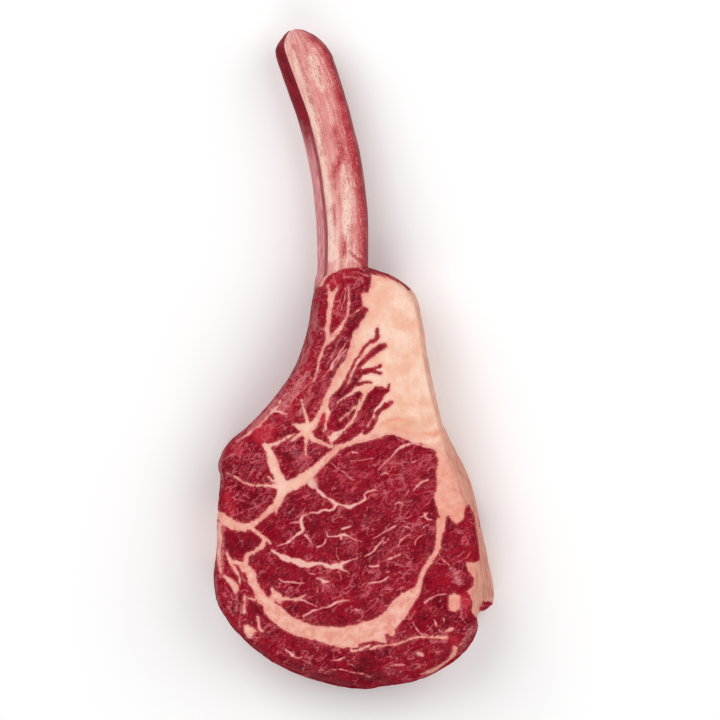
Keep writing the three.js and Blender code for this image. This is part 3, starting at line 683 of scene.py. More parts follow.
# Peach streaks on the fat.
peachStrokes = [
    [(19, -36.4, 1), (26, -39.6, 2.4), (32, -41.2, 3.6), (38, -41.4, 3.8), (44, -40.6, 3),
     (47, -39.2, 1.6)],
    [(14, -36, 0.8), (20, -33.4, 1.4), (27, -32.6, 0.8)],
    [(9.6, 38, 1), (12.6, 43, 1.6), (18, 43.4, 0.8)],
    [(56.4, -129, 2), (56.2, -135.4, 2)],
]

# Thin dark lines of meat.
darkStrokes = [
    [(4, 47.6, 1.6), (12, 46.2, 2), (22, 43.4, 1.6)],
    [(-5, 6.2, 1.2), (-6.8, 0.9, 1.4), (-10.3, -5.6, 1.5), (-14.4, -12.7, 1)],
]

# Fine marbling that grows at random: middle, spread, number of threads, main direction in degrees.
threadFields = [
    ((26, -66), (16, 16), 7, 42), ((-12, -75), (22, 16), 4, 20), ((22, -104), (18, 16), 7, 38),
    ((-22, -104), (20, 12), 6, 5), ((0, -128), (28, 12), 9, 20), ((-33, -54), (10, 12), 6, 80),
    ((-57, -57), (12, 8), 6, 60), ((-58, -78), (12, 10), 4, 30), ((56, -105), (8, 18), 5, 70),
    ((50, -140), (12, 12), 5, 40), ((15, -164), (30, 7), 12, 8), ((-40, -160), (22, 9), 5, -30),
    ((-66, -130), (7, 16), 14, 82), ((-8, 28), (8, 16), 6, 75), ((-38, -22), (14, 16), 34, 50),
    ((-21, 6), (5, 22), 16, 76),
]


def wiggled(line):
    # the line a little unsteady in its course and its width
    spots = line[:, :2]
    moved = stray(spots, 2.6, (3.3, 8.8), 0.42) + stray(spots, 6, (1.9, 6.2), 0.5)
    width = line[:, 2] * (1 + 0.4 * softNoise(spots, 1.9, 4.1))
    return np.column_stack([spots + moved, width])


def growThreads():
    random = np.random.default_rng(meat["threadSeed"])
    share, turn = meat["crossing"]
    step = meat["threadStep"]
    lines = []
    for middle, spread, number, direction in threadFields:
        for _ in range(number):
            spot = np.array(middle) + random.uniform(-1, 1, 2) * spread
            leaning = random.normal(0, 22)
            crossing = turn if random.random() < share else 0
            heading = math.radians(direction + leaning - crossing)
            width = random.uniform(0.3, 0.65)
            for branch in range(1 if random.random() < 0.6 else 2):
                turned = heading + branch * random.choice([-1, 1]) * random.uniform(0.5, 1)
                steps = random.integers(2, 6) - branch // 2
                course = [(*spot, width * (0.5 if branch == 0 else 0.8))]
                for k in range(steps):
                    turned += random.normal(0, 0.28)
                    last = course[-1]
                    taper = math.sin(math.pi * (0.3 + 0.7 * (k + 1) / steps))
                    course.append((
                        last[0] + step * math.cos(turned), last[1] + step * math.sin(turned),
                        width * (0.35 + 0.65 * taper),
                    ))
                lines.append(smoothCurve(course, 0.8))
                spot = np.array(course[len(course) // 2][:2])
    return lines


def towardsNeck(spots):
    return ease(spots[:, 1], meat["neckFrom"], meat["neckTo"])


def topHeight(spots):
    thinning = (meat["thickness"] - meat["neckThickness"]) * towardsNeck(spots)
    fromEye = np.hypot(spots[:, 0] - meat["eyeCentre"][0], spots[:, 1] - meat["eyeCentre"][1])
    return meat["thickness"] - thinning - meat["eyeSwell"] * ease(fromEye, 0, meat["eyeRadius"])


def underHeight(spots):
    return meat["neckLift"] * towardsNeck(spots)


def roundedWall(outline):
    # rings of corners from the rim of the upper cut face down the side to the rim of the lower one
    span = 6  # the outline's direction is taken over this many corners each way
    along = np.roll(outline, -span, 0) - np.roll(outline, span, 0)
    along /= np.linalg.norm(along, axis=1)[:, None]
    outward = np.column_stack([along[:, 1], -along[:, 0]])
    x, down = outline[:, 0], -outline[:, 1]
    tail = ease(down, -meat["tailFrom"], -meat["tailTo"])
    rim, drop = (low + (high - low) * tail for low, high in (meat["rim"], meat["rimDrop"]))
    crisp = meat["crisp"] * ease(x, *meat["crispAcross"]) * (1 - tail) * ease(down, *meat["crispDown"])
    crisp = crisp * (1 - meat["softer"] * within(down, *meat["softDown"]))
    rim, drop = rim * (1 - crisp), drop * (1 - crisp)
    foot, rise = meat["foot"]
    knots = np.array(sideFatBulge)
    bulge = np.interp(-down, knots[:, 0], knots[:, 1]) * (x > 30)

    # shares of the rim's inset, the foot's inset, the rim's drop, the wall's height, the foot's rise
    steps = []
    for angle in np.linspace(0, math.pi / 2, meat["rimRings"], endpoint=False):
        steps.append((1 - math.sin(angle), 0, 1 - math.cos(angle), 0, 0))
    for share in np.linspace(0, 1, meat["wallRings"]):
        steps.append((0, 0, 1, share, 0))
    for angle in np.linspace(math.pi / 2, 0, meat["footRings"] + 1)[1:]:
        steps.append((0, 1 - math.sin(angle), 1, 1, math.cos(angle)))
    rings = []
    top = topHeight(outline - outward * rim[:, None])
    low = underHeight(outline)
    for rimShare, footShare, dropShare, wallShare, riseShare in steps:
        upper = top - drop * dropShare
        height = upper + (low + rise - upper) * wallShare - rise * riseShare
        inset = rim * rimShare + foot * footShare
        proud = bulge * within(height, *meat["bulgeHeights"])
        place = outline + outward * (proud - inset)[:, None]
        rings.append(np.column_stack([place, height]))
    return rings


def clearOf(spots, placed, gap):
    # the spots that lie further than the gap from everything placed so far
    tree = kdtree.KDTree(len(placed))
    for k, (x, y) in enumerate(placed):
        tree.insert((x, y, 0), k)
    tree.balance()
    return spots[np.array([tree.find((x, y, 0))[2] > gap for x, y in spots], bool)]


def faceCorners(rim, step, lines):
    # corners inside the rim: some along the lines, and the rest on a triangular grid between them
    gap, rounding = step * 0.6, 0.5
    onLines = np.zeros((0, 2))
    if lines:
        spread = [evenly(line, max(3, int(0.9 * len(line))), False) for line in lines]
        onLines = np.vstack(spread)[:, :2]
        onLines = onLines[np.unique((onLines / rounding).round(), axis=0, return_index=True)[1]]
        onLines = clearOf(onLines, rim, gap)
        onLines = onLines[isInside(onLines, rim)]
    low, high = rim.min(0), rim.max(0)
    rows = np.arange(low[1], high[1], step * math.sqrt(0.75))
    columns = np.arange(low[0], high[0] + step, step)
    grid = np.array([(x + step / 2 * (k % 2), y) for k, y in enumerate(rows) for x in columns])
    grid = clearOf(grid, np.vstack([rim, onLines]), gap)
    return np.vstack([onLines, grid[isInside(grid, rim)]])


def fillFace(rim, inner):
    # triangles between the rim's corners, which come first, and the inner ones
    spots = np.vstack([rim, inner])
    count = len(rim)
    edges = [(k, (k + 1) % count) for k in range(count)]
    made = geometry.delaunay_2d_cdt([Vector(spot) for spot in spots], edges, [], 1, 1e-6)
    origin = [first[0] for first in made[3]]
    return [tuple(origin[k] for k in face) for face in made[2]]


def softSpots(places, spots):
    total = np.zeros(len(places))
    for x, y, radius, amount in spots:
        gap = ((places[:, 0] - x) ** 2 + (places[:, 1] - y) ** 2) / radius**2
        total += amount * np.exp(-np.minimum(gap, 20))
    return total


def meatMarks(corners, below, veinLines):
    # what the finish reads at each corner; below is how far the corner lies under its upper rim
    flat = corners[:, :2]
    x, y = flat[:, 0], flat[:, 1]
    down = -y
    wall = ease(corners[:, 2] - underHeight(flat), 0.6, 5)
    places = flat + stray(corners, 4.3, (3.1, 9.7), meat["waver"])
    places = places + stray(corners, 1.4, (5.3, 2.9), meat["shiver"])
    places = places + stray(corners, 16, (7.7, 1.3), meat["wander"]) * ease(below, 1, 40)[:, None]

    def inStrokes(strokes, reach=5.0):
        return strokeDepth(places, smoothed(strokes), reach)

    corner = outlineDepth(places, np.array(cornerFat))
    fat = np.maximum(inStrokes(fatStrokes), corner)
    fat = np.maximum(fat, outlineDepth(places, np.array(sideFat)))
    fat = np.minimum(fat, -inStrokes(leanStrokes))
    fat = np.maximum(fat, inStrokes(fatLines))

    # drier places with painted shade: the slope of the side fat, its lower end, the rim on the right, the
    # upper right corner and the sides, where the darker colour also stands for the shade of these steep
    # faces
    driedAndShaded = np.max([
        0.85 * ease(x - 50.7 + (y + 39) * 0.344, -11, 0) * within(down, 38, 52, 90, 100),
        0.7 * ease(x, 58, 68) * within(down, 104, 110, 140, 143),
        0.65 * ease(below, 0.1, 1) * ease(x, 18, 28),
        0.5 * ease(np.hypot(x - 6, (y - 14) * 0.9), 26, 31) * ease(x, 14, 24) * ease(y, 16, 24),
        ease(below, 0.6, 16),
    ], axis=0)

    # pink fat: the seams, less at the left, and the right side beside the eye
    seams = (1 - ease(corner, -1, 4)) * (1 - 0.6 * ease(-x, 16, 26) * ease(y, -84, -78))
    rosy = np.maximum(seams, 0.95 * ease(down, 40, 56) * ease(x, 40, 46))
    peach = ease(inStrokes(peachStrokes, 3), -2, 1.8)
    peach = np.maximum(peach, 0.5 * ease(down, 42, 58) * ease(x, 38, 44))
    tone = softSpots(places, toneSpots) - 0.6 * ease(inStrokes(darkStrokes, 2), -0.5, 0.5)
    tone = tone + 0.28 * softNoise(corners, 11, 4.4) + 0.2 * softNoise(corners, 5, 8.8)
    marble = 0.35 + softSpots(places, marbleSpots) + 0.3 * softNoise(corners, 9, 6.1)
    return {
        "fatEdge": fat,
        "rosy": rosy,
        "peach": peach,
        "veinEdge": strokeDepth(flat, veinLines, 3) - meat["veinFade"] * ease(below, 2, 9) * wall,
        "tone": tone,
        "marble": np.clip(marble, 0, 1.4),
        "pinkVeil": inStrokes(pinkStrokes, 3),
        "skin": inStrokes(skinStrokes, 3),
        # the sides: drier surface, and painted shade on the steep walls
        "side": driedAndShaded * wall,
    }


def relief(corners, marks):
    # low hills and hollows of the cut surface
    def bumps(name):
        return sum(high * softNoise(corners, cell, seed) for high, cell, seed in meat["bumps"][name])

    fat = marks["fatEdge"]
    lean = ease(-fat, -0.3, 0.8)
    dome = meat["dome"] * ease(-fat, 0, 6) * lean
    groove = -meat["groove"] * np.exp(-((fat / 0.8) ** 2))
    cord = meat["cord"] * ease(marks["veinEdge"], -0.6, 0.4)
    return bumps("hills") + dome + groove + cord + bumps("fibres") * lean + bumps("wax") * (1 - lean)


def leanColour(marks, place, fibre, wobble, tint):
    # deep crimson with brighter and darker bundles of fibres
    tone, marble = marks["tone"], marks["marble"]
    coarse = (place.grain(6, 3, seed=0.2) - 0.5) * 0.8
    fine = (fibre.grain(1.1, 3, 0.7, seed=0.4) - 0.5) * 1.8
    light = (tone * 0.38 + (coarse + fine) + 0.52).between(-0.1, 1.1)
    lean = light.blend(tint["darkLean"], tint["redLean"])
    deep = (place.grain(2.4, 3, 0.65, seed=0.6) - 0.5).between(0.04, 0.2) * 0.6
    lean = deep.blend(lean, tint["deepLean"])
    fresh = tone.between(0.3, 1.1) * 0.6
    lean = fresh.blend(lean, tint["freshLean"])

    # specks and strands of marbling, duller in the dark muscles; the pale specks also paint the glints of
    # the wet fibres
    dull = (tone * -1).between(0.3, 1.1)
    flecksAndGlints = fibre.grain(0.85, 2, 0.7, seed=0.9) + marble * 0.11
    flecksAndGlints = (flecksAndGlints + (place.grain(8, 2, seed=0.7) - 0.5) * 0.6).between(0.58, 0.76) * 0.5
    lean = flecksAndGlints.blend(lean, dull.blend(tint["flecksAndGlints"], tint["dullFlecksAndGlints"]))
    strands = 1 - abs(fibre.grain(3.8, 2, 0.5, seed=3.1) - 0.5) * 15
    patches = (place.grain(6, 2, seed=3.3) + marble * 0.15).between(0.54, 0.7)
    strands = strands.between(0.1, 0.9) * patches * 0.55
    lean = strands.blend(lean, dull.blend(tint["strands"], tint["dullStrands"]))

    # pinker beside the fat
    beside = (marks["fatEdge"] + wobble * 0.7).between(-1.3, 0.1)
    beside = beside * (place.grain(3.4, 3, 0.6, seed=5.1).between(0.3, 0.6) * 0.5 + 0.1)
    return beside.blend(lean, tint["besideFat"])


def fatColour(marks, place, tint):
    # cream, peach in places, pinker where it is thin
    warm = place.grain(12, 3, 0.6, seed=0.1).between(0.36, 0.66)
    fat = warm.blend(tint["cream"], tint["peach"])
    speckle = (place.grain(1.3, 2, 0.6, seed=0.8) - 0.5).between(-0.02, 0.25) * 0.3
    fat = speckle.blend(fat, tint["speckle"])
    grained = place.drawnOut(104, 2.6).grain(1.7, 3, 0.65, seed=3.9).between(0.5, 0.7) * 0.3
    fat = grained.blend(fat, tint["grained"])
    pinker = place.grain(4.6, 3, 0.65, seed=3.7).between(0.32, 0.66)
    fat = (marks["rosy"] * 0.85).blend(fat, pinker.blend(tint["pink"], tint["rose"]))
    # darker tan where the tone is low: random tone, and painted shade in the hollows at the lower edge of
    # the corner fat
    dusky = (marks["tone"] * -1).between(-0.1, 0.9) * 0.7
    fat = dusky.blend(fat, tint["dusky"])
    thin = 1 - marks["fatEdge"].between(0.2, 2)
    fat = (thin * 0.45).blend(fat, tint["thinFat"])
    specks = place.grain(2, 2, 0.6, seed=4.7).between(0.64, 0.72) * marks["rosy"] * 0.5
    fat = specks.blend(fat, tint["redSpecks"])
    streaky = place.drawnOut(-6, 2.5).grain(2.4, 3, 0.6, seed=4.3).between(0.3, 0.62)
    fat = (marks["peach"] * (streaky * 0.45 + 0.45)).blend(fat, tint["peachStreaks"])

    # drier, streaked and darker on the sides, the darkness partly painted shade of the steep walls
    streaks = place.drawnOut(100, 4).grain(2.2, 3, 0.6, seed=2.7).between(0.32, 0.62)
    driedAndShaded = streaks.blend(tint["dryShadedDark"], tint["dryShadedPale"])
    return (marks["side"].between(0, 1) * 0.8).blend(fat, driedAndShaded)


def meatFinish():
    material, start, place = newFinish("rawBeef")
    tint = tintsOf(meat)
    names = ("fatEdge", "veinEdge", "tone", "marble", "pinkVeil", "skin", "side", "rosy", "peach")
    marks = {name: start.reading(name) for name in names}

    fibre = place.drawnOut(*meat["fibres"])
    wobble = (place.grain(2.6, 3) - 0.5) * 1.5 + (place.grain(1, 3, 0.6, seed=0.3) - 0.5) * 1.5
    fat = (marks["fatEdge"] + wobble).between(-0.24, 0.44)
    lean = 1 - fat
    broken = (fibre.grain(1.5, 2, 0.7, seed=5.5) - 0.5) * 1.1
    vein = (marks["veinEdge"] + wobble * 0.6 + broken).between(-0.2, 0.4)

    colour = fat.blend(leanColour(marks, place, fibre, wobble, tint), fatColour(marks, place, tint))
    threads = marks["veinEdge"].between(0.1, 1).blend(tint["thinVein"], tint["wideVein"])
    colour = (vein * lean * 0.92).blend(colour, threads)

    # the pink veil over parts of the lean, which stops short of the sides
    veil = (marks["pinkVeil"] + wobble).between(-0.8, 1.2) * lean
    veil = veil * (fibre.grain(1.2, 3, 0.7, seed=1.1).between(0.38, 0.6) * 0.72 + 0.14)
    veil = veil * (1 - marks["side"].between(0.02, 0.3))
    colour = veil.blend(colour, tint["veil"])

    # the skin on the neck, and the darker lean of the sides, partly a drier surface and partly painted
    # shade
    stringy = place.drawnOut(78, 3).grain(1.5, 3, 0.65, seed=1.3).between(0.38, 0.62) * 0.75
    film = (marks["skin"] + wobble).between(-1, 1) * stringy
    colour = film.blend(colour, tint["skin"])
    agedAndShaded = marks["side"] * lean * place.grain(6, 3, 0.6, seed=1.5).between(0.35, 0.7) * 0.35
    colour = agedAndShaded.blend(colour, tint["shadedAgedLean"])

    wet = place.grain(7, 2, seed=1.7).between(0.35, 0.65) * 0.2 + 0.06
    fleshy = fibre.grain(1.1, 3, 0.65, seed=2.1) * 0.8 + place.grain(2.8, 2, seed=2.3) * 0.6
    waxy = place.grain(3.5, 3, 0.5, seed=2.5) * 0.45
    height = lean * fleshy + fat * waxy + vein * 0.2
    closeFinish(start, {
        **meat["surface"],
        "Base Color": colour,
        "Roughness": 0.5 - lean * 0.1 + place.grain(1.2, 2, seed=1.9) * 0.12,
        "Coat Weight": wet * (1 - fat * 0.7) * (1 - marks["side"].between(0, 0.5)),
        "Normal": start.bump(0.55, 0.0005, height),
    })
    return material


def meatSurface(veinLines):
    # the side in rings, and then the upper and the lower face, which fill the first and the last ring
    rough = smoothCurve(meatOutline, 0.5, True)
    around = np.linalg.norm(rough - np.roll(rough, -1, 0), axis=1).sum()
    outline = evenly(rough, round(around / meat["outlineStep"]))
    rings = roundedWall(outline)
    count = len(outline)
    corners = [*rings]
    faces = []
    for k in range(len(rings) - 1):
        for j in range(count):
            after = (j + 1) % count
            upper, lower = k * count, (k + 1) * count
            faces.append((upper + j, lower + j, lower + after, upper + after))
    used = len(rings) * count
    for ring, step, lines, isTop in (
        (rings[0][:, :2], meat["faceStep"], veinLines, True),
        (rings[-1][:, :2], meat["underStep"], [], False),
    ):
        inner = faceCorners(ring, step, lines)
        height = topHeight(inner) if isTop else underHeight(inner)
        first = 0 if isTop else (len(rings) - 1) * count
        for face in fillFace(ring, inner):
            named = [first + k if k < count else used + k - count for k in face]
            faces.append(tuple(named if isTop else named[::-1]))
        corners.append(np.column_stack([inner, height]))
        used += len(inner)
    return np.vstack(corners), faces


def buildMeat():
    veinLines = [wiggled(line) for line in smoothed(veins) + growThreads()]
    corners, faces = meatSurface(veinLines)
    below = np.maximum(topHeight(corners) - corners[:, 2], 0)
    marks = meatMarks(corners, below, veinLines)
    corners = corners + cornerNormals(corners, faces) * relief(corners, marks)[:, None]
    corners[:, 2] = np.maximum(corners[:, 2], 0)
    print("meat:", len(corners), "corners,", len(faces), "faces")
    piece = makePiece("meat", corners, faces, marks, meatFinish())
    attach(piece, "root")
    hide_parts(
        "fat", "eye_muscle", "cap_muscle", "rib_side_muscle", "neck_muscle", "finger_muscle",
        "round_muscle", "side_muscle", "corner_muscle",
    )


buildMeat()


# The rib: scraped bare beyond the meat, and lying in the inner side of the meat below that.
rib = {
    "step": 1.3,
    "around": 84,
    "halfGirth": 80,  # half way round, as the grain counts it
    "sinks": ((30, 2), (38, -0.35)),  # y, and how deep its inner face lies under the side of the meat
    "meatEnds": 49,  # y below which the side of the meat holds it in
    "tipSteps": 0.012,  # how much the steps shorten towards the tip
    "scrapes": (0.16, 3.2, 1.7),  # height, size, seed
    "waves": (0.25, 15, 2.6),
    "colours": {
        "palePink": (244, 196, 186),
        "rose": (222, 140, 136),
        "cream": (246, 214, 198),
        "drab": (190, 146, 130),
        "flush": (204, 82, 88),
        "smear": (180, 44, 58),
        "pores": (150, 84, 84),
        "rim": (128, 28, 44),
        "under": (176, 110, 108),
        # the inner facet: tissue colour, partly painted shade
        "darkCrimson": (76, 0, 12),
        "crimson": (164, 30, 44),
        "mauve": (180, 72, 86),
        "paleMauve": (242, 180, 178),
        "ridge": (132, 30, 46),
        "skin": (196, 138, 134),
        "darkSkin": (134, 42, 54),
        "tissue": (146, 22, 40),
        "paleTissue": (196, 76, 80),
    },
    "surface": {
        "Coat Roughness": 0.25,
        "Specular IOR Level": 0.03,
        "Subsurface Weight": 0.06,
        "Subsurface Radius": (0.003, 0.0014, 0.001),
        "Subsurface Scale": 1.0,
    },
}

# x, y, half width to the inner side, to the outer side, half depth, height of the axis
ribStations = [
    (-48, -43.5, 12, 7, 10, 23), (-40, -33, 17, 9, 12.5, 23), (-25, -13.5, 20, 10.5, 14, 23),
    (-14.5, 9, 20, 12, 15, 23), (-8.6, 32, 17.5, 13.5, 15.5, 23), (-6.8, 46, 14, 14.2, 15.5, 23),
    (-6.6, 62, 13.8, 14.2, 15.3, 22.9), (-7.2, 80, 14, 14.4, 15, 22.6),
    (-10.9, 110, 14.4, 14.4, 14.4, 22), (-14.4, 125, 14.6, 14.1, 14.2, 21.6),
    (-18.6, 140, 14.8, 14.3, 14, 21.2), (-23.4, 153, 14.7, 15.1, 13.8, 20.9),
    (-26.4, 161, 14.5, 15.4, 13.6, 20.6), (-28.6, 167, 14.4, 14.2, 13.2, 20.5),
    (-30.2, 171.2, 14.2, 12.2, 12.6, 20.5), (-31.5, 174.7, 13.2, 9.8, 11.6, 20.5),
    (-32.5, 177.5, 10.4, 7.2, 9.8, 20.5), (-33.3, 179.6, 7, 4.6, 7.4, 20.6),
    (-33.9, 181.2, 3, 2, 4, 20.6),
]

# The section, as shares of the half width and the half depth. The inner side slants, and meets the
# upper face in a ridge.
ribSection = [
    (1, 0), (0.95, -0.45), (0.72, -0.84), (0.3, -0.97), (-0.2, -1), (-0.62, -0.9), (-0.9, -0.62),
    (-1, -0.2), (-0.95, 0.16), (-0.8, 0.5), (-0.59, 0.84), (-0.51, 0.92), (-0.27, 0.985), (0.1, 1),
    (0.5, 0.95), (0.84, 0.74), (0.96, 0.4),
]

# The inner side of the meat, from the neck down.
innerSide = [
    (-21, 62), (-21.3, 47), (-22.5, 33), (-26.4, 12), (-34.6, -8.5), (-47.6, -26), (-59.4, -38.6),
]

ribStains = [
    # the red outer edge
    [(-17, 172, 3), (-15, 168, 5.5), (-10.4, 157, 6), (-6.6, 146, 8), (-3.8, 136, 9.5), (-1.6, 124, 8.5),
     (1, 109, 8), (4.2, 92.4, 7), (5.4, 76, 6), (6, 59.6, 5.4), (6.4, 50, 5)],
    [(-6.6, 134, 1.4), (-2.6, 118, 2), (0.4, 106, 1.6)],
    # the smears along the middle
    [(-11.7, 127, 2), (-9.7, 120, 4.4), (-6.8, 113, 5), (-9, 106, 4.4), (-11, 99, 2.4), (-10.7, 93, 1)],
    [(-5.2, 139, 1.4), (-4.7, 130, 3), (-2.7, 122, 3.6), (-0.2, 114, 4), (2.7, 106, 3.6)],
    [(-11.2, 84, 1.8), (-11.2, 74, 1.2)],
    [(-6.3, 67.5, 1.6), (-5.7, 56, 1.8)],
    [(-30.4, 163.5, 1), (-27, 152.6, 1.8), (-24.3, 143.8, 2.4), (-21.6, 137.3, 1.6), (-18.4, 126, 1),
     (-16.4, 112, 0.8)],
    [(-33, 171, 1.4), (-29, 160, 1.2), (-25.6, 150, 0.8)],
    [(-24, 176, 3), (-19, 173, 3.6), (-15, 169, 3)],
]

ribCream = [
    [(-33, 168, 2.2), (-29.5, 156, 2.8), (-26, 146, 3), (-22.4, 131, 3), (-19, 117, 3),
     (-16.6, 103, 3.2), (-14, 88, 3.6), (-13.2, 72, 4), (-13, 56, 3.6)],
    [(-24, 164, 4), (-21, 156, 5), (-18, 148, 3)],
    [(-4, 101, 3), (-3.6, 90, 5), (-4, 78, 6), (-4, 66, 4)],
    [(-13.2, 66, 5), (-12.6, 56, 6)],
]

ribTissue = [
    [(-3.4, 58.6, 1.4), (-0.6, 56.6, 2.4), (2.2, 54.4, 2.6), (5, 52, 3.4), (7, 50.6, 4)],
    [(3, 60, 1.4), (5.6, 56, 1.6), (7.6, 52, 2)],
    [(-5.2, 65, 1.2), (-5.7, 57, 1.6)],
]


def ribFinish():
    material, start, place = newFinish("scrapedRib")
    tint = tintsOf(rib)
    stain, cream = start.reading("stain"), start.reading("cream")
    tissue, inner, buried = start.reading("tissue"), start.reading("inner"), start.reading("buried")
    far, ridge, under = start.reading("far"), start.reading("ridge"), start.reading("under")
    outer = start.reading("outer")
    grainInputs = {"X": start.reading("around") * 0.001, "Y": start.reading("along") * 0.00012}
    grainPlace = start.node("ShaderNodeCombineXYZ", {}, grainInputs)

    streak = grainPlace.grain(1.1, 4, 0.75)
    broad = grainPlace.grain(4.5, 3, 0.55, seed=0.3)
    blotch = place.grain(7, 3, 0.55, seed=0.2)
    pores = place.grain(0.9, 2, 0.6, seed=0.8)
    wobble = (streak - 0.5) * 2.6 + (place.grain(3.2, 3, 0.6, seed=0.4) - 0.5) * 2.4

    bone = broad.between(0.3, 0.7).blend(tint["palePink"], tint["rose"])
    light = (cream + wobble * 1.1).between(-1.2, 1.4) * 0.9
    bone = light.blend(bone, tint["cream"])
    drab = blotch.between(0.48, 0.72) * streak.between(0.4, 0.65) * 0.5
    bone = drab.blend(bone, tint["drab"])
    flush = streak * 0.75 + blotch * 0.3 + pores * 0.35 + outer.between(-0.1, 0.9) * 0.18
    flush = flush.between(0.68, 0.9) * 0.7
    bone = flush.blend(bone, tint["flush"])
    smear = (stain + wobble * 1.3).between(-2, 2.4) * (pores + streak * 0.6).between(0.3, 0.95)
    bone = smear.blend(bone, tint["smear"])
    bone = (pores.between(0.54, 0.72) * 0.22).blend(bone, tint["pores"])
    rim = (outer + (streak - 0.5) * 0.5 + (blotch - 0.5) * 0.3).between(0.76, 0.97) * 0.85
    bone = rim.blend(bone, tint["rim"])
    bone = (under * 0.45).blend(bone, tint["under"])

    # the slanting inner side: dark crimson at the far end, partly tissue left on the bone and partly
    # painted shade of the facet, mauve and then grey towards the meat
    redder = (streak + blotch * 0.5 + pores * 0.3).between(0.6, 1.2)
    crimson = redder.blend(tint["darkCrimson"], tint["crimson"])
    mauve = streak.between(0.32, 0.68).blend(tint["mauve"], tint["paleMauve"])
    farther = (far + (blotch - 0.5) * 0.7 + (streak - 0.5) * 0.6).between(0.2, 0.8)
    facet = farther.blend(mauve, crimson)
    edge = (ridge * (0.4 + streak)).between(0.35, 0.8) * 0.7
    facet = edge.blend(facet, tint["ridge"])
    shown = (inner + (streak - 0.5) * 0.5).between(0.3, 0.62)
    colour = shown.blend(bone, facet)

    # the skin over the part that lies in the meat, and the tissue left where the meat ends
    skin = (blotch + streak * 0.4).between(0.5, 0.85).blend(tint["skin"], tint["darkSkin"])
    colour = (buried * 0.85).blend(colour, skin)
    ragged = (place.grain(1.8, 3, 0.6, seed=0.5) - 0.5) * 2.4 + (streak - 0.5) * 3
    strands = (tissue + ragged * 0.8).between(-0.5, 0.7) * 0.85
    colour = strands.blend(colour, pores.between(0.4, 0.62).blend(tint["tissue"], tint["paleTissue"]))

    height = streak * 0.7 + place.grain(1.3, 3, 0.6, seed=0.6) * 0.4 + broad * 0.5
    closeFinish(start, {
        **rib["surface"],
        "Base Color": colour,
        "Roughness": 0.42 + streak * 0.2,
        "Coat Weight": 0.03 + smear * 0.1,
        "Normal": start.bump(0.5, 0.0006, height),
    })
    return material


def ribSurface():
    # even steps along the axis, and smaller ones towards the rounded tip
    axis = smoothCurve(ribStations, 0.5)
    shares = np.linspace(0, 1, round(len(axis) * 0.5 / rib["step"]))
    shares = shares - rib["tipSteps"] * np.sin(shares * math.pi)
    axis = evenly(axis, len(axis), False)
    place = np.interp(shares, np.linspace(0, 1, len(axis)), range(len(axis)))
    axis = np.column_stack([np.interp(place, range(len(axis)), axis[:, k]) for k in range(6)])
    along = np.gradient(axis[:, :2], axis=0)
    along /= np.linalg.norm(along, axis=1)[:, None]
    gone = np.concatenate([[0], np.cumsum(np.linalg.norm(np.diff(axis[:, :2], axis=0), axis=1))])

    # each corner's place, its distance along and around, and its shares of the width and the depth
    section = evenly(smoothCurve(ribSection, 0.02, True), rib["around"])
    rows = []
    for (x, y, inner, outer, depth, height), (ax, ay), distance in zip(axis, along, gone):
        for k, (across, up) in enumerate(section):
            sideways = across * (outer if across > 0 else inner)
            spot = (x + ay * sideways, y - ax * sideways, height + up * depth)
            turn = abs(k / rib["around"] * 2 - 1)
            rows.append((*spot, distance, turn * rib["halfGirth"], across, up))
    for end in (0, -1):
        rows.append((axis[end, 0], axis[end, 1], axis[end, 5], gone[end], rib["halfGirth"] / 2, 0, 0))

    count, rings = rib["around"], len(axis)
    faces = []
    for k in range(rings - 1):
        near, far = k * count, (k + 1) * count
        for j in range(count):
            after = (j + 1) % count
            faces.append((near + j, near + after, far + after, far + j))
    last = (rings - 1) * count
    for j in range(count):
        after = (j + 1) % count
        faces.append((rings * count, after, j))
        faces.append((rings * count + 1, last + j, last + after))
    return np.array(rows), faces


def drawnIn(corners):
    # inside the meat the inner face is drawn in until it lies just under the side of the meat
    guide = smoothCurve(np.column_stack([innerSide, np.zeros(len(innerSide))]), 0.8)[:, :2]
    tangent = np.gradient(guide, axis=0)
    tangent /= np.linalg.norm(tangent, axis=1)[:, None]
    leftward = np.column_stack([tangent[:, 1], -tangent[:, 0]])  # the guide runs downwards
    low = np.nonzero(corners[:, 1] < rib["meatEnds"])[0]
    nearest = np.linalg.norm(corners[low, None, :2] - guide[None], axis=2).argmin(1)
    outside = ((corners[low, :2] - guide[nearest]) * leftward[nearest]).sum(1)
    slack = np.maximum(outside + np.interp(corners[low, 1], *zip(*rib["sinks"])), 0)
    hold = 1 - ease(corners[low, 1], rib["meatEnds"] - 8, rib["meatEnds"])
    drawn = corners.copy()
    drawn[low, :2] -= leftward[nearest] * (slack * hold)[:, None]
    return drawn


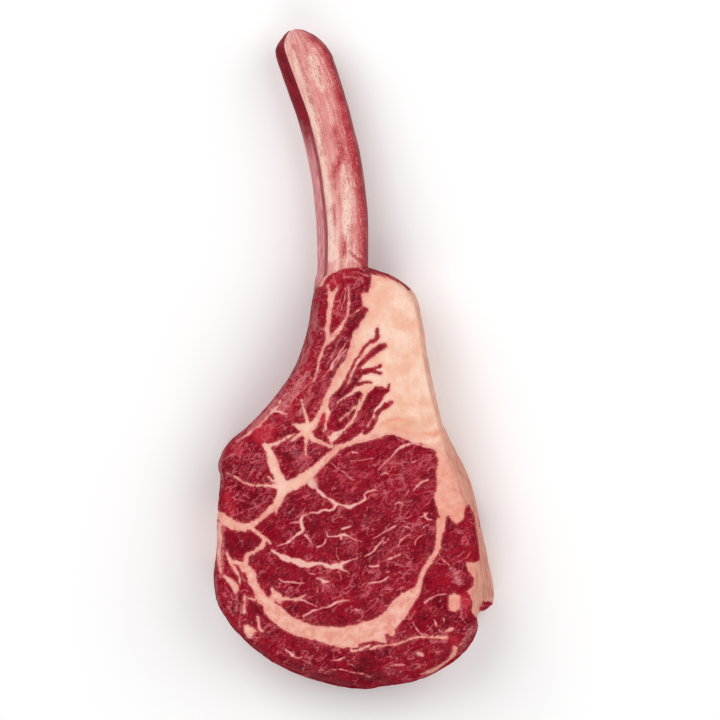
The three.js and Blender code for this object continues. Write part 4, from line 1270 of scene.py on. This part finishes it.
def buildRib():
    rows, faces = ribSurface()
    corners = rows[:, :3]
    along, around, across, up = rows[:, 3:].T

    # low scrape marks and a slight waviness, more of it at the tip
    high, cell, seed = rib["scrapes"]
    bumps = high * softNoise(np.column_stack([around, along / 9]), cell, seed)
    high, cell, seed = rib["waves"]
    bumps += high * softNoise(corners, cell, seed)
    bumps += (0.1 + 0.3 * ease(corners[:, 1], 150, 178)) * softNoise(corners, 5, 6.4)
    corners = drawnIn(corners + cornerNormals(corners, faces) * bumps[:, None])

    upper = ease(up, 0.2, 0.7)
    flat = corners[:, :2] + stray(corners, 5, (3.7, 8.3), 0.6)

    def inStrokes(strokes, least):
        # how far inside the strokes, on the upper side of the rib alone
        return np.where(upper > least, strokeDepth(flat, smoothed(strokes), 4), -4)

    marks = {
        "stain": inStrokes(ribStains, 0.4),
        "cream": inStrokes(ribCream, 0.4),
        "tissue": inStrokes(ribTissue, 0.1),
        "inner": ease(-across, 0.52, 0.64) * ease(up, -0.75, -0.4),
        "far": ease(corners[:, 1], 92, 150),
        "ridge": np.exp(-(((across + 0.65) / 0.09) ** 2)) * (up > 0.4),
        "under": ease(-up, 0.3, 0.9),
        "outer": across,
        "buried": 1 - ease(corners[:, 1], 36, 46),
        "along": along,
        "around": around,
    }
    print("rib:", len(corners), "corners,", len(faces), "faces")
    piece = makePiece("ribBone", corners, faces, marks, ribFinish())
    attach(piece, "root")
    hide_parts("rib_bone")


buildRib()


# The table, the lights and the camera.
studio = {
    "floorColour": (1, 1, 1, 1),
    "floorSize": 6,
    "skyStrength": 0.28,
    "lamps": {  # place, power, size
        "key": ((-1.1, 0.9, 1.6), 23, 1.8),
        "fill": ((1.2, 0.5, 1.5), 17, 1.8),
        "front": ((0.1, -1.4, 1.3), 13, 1.8),
    },
    "cameraPlace": (3.0, -0.55),  # over this point of the drawing
    "cameraHeight": 2.223,
    "lens": 200,
}


def buildFloor():
    material, start, place = newFinish("paleTable")
    shade = place.grain(400, 2).blend(studio["floorColour"], (0.98, 0.98, 0.98, 1))
    closeFinish(start, {"Base Color": shade, "Roughness": 0.8, "Specular IOR Level": 0.2})
    half = studio["floorSize"] / 2
    mesh = bpy.data.meshes.new("floor")
    square = [(-half, -half, 0), (half, -half, 0), (half, half, 0), (-half, half, 0)]
    mesh.from_pydata(square, [], [(0, 1, 2, 3)])
    mesh.materials.append(material)
    floor = bpy.data.objects.new("floor", mesh)
    bpy.context.scene.collection.objects.link(floor)


def addLamp(name, place, power, size):
    lamp = bpy.data.lights.new(name, "AREA")
    lamp.energy = power
    lamp.size = size
    holder = bpy.data.objects.new(name, lamp)
    holder.location = place
    holder.rotation_euler = (-Vector(place)).to_track_quat("-Z", "Y").to_euler()
    bpy.context.scene.collection.objects.link(holder)


def buildStudio():
    world = bpy.data.worlds.new("softSky")
    world.use_nodes = True
    sky = world.node_tree.nodes["Background"]
    sky.inputs["Color"].default_value = (1, 1, 1, 1)
    sky.inputs["Strength"].default_value = studio["skyStrength"]
    bpy.context.scene.world = world
    for name, (place, power, size) in studio["lamps"].items():
        addLamp(name, place, power, size)
    lens = bpy.data.cameras.new("camera")
    lens.lens = studio["lens"]
    lens.sensor_width = 36
    lens.clip_start, lens.clip_end = 0.1, 20
    camera = bpy.data.objects.new("camera", lens)
    across, up = studio["cameraPlace"]
    camera.location = ((across + shift[0]) / 1000, (up + shift[1]) / 1000, studio["cameraHeight"])
    bpy.context.scene.collection.objects.link(camera)
    bpy.context.scene.camera = camera
    bpy.context.scene.view_settings.view_transform = "Standard"


buildFloor()
buildStudio()
print("studio ready")
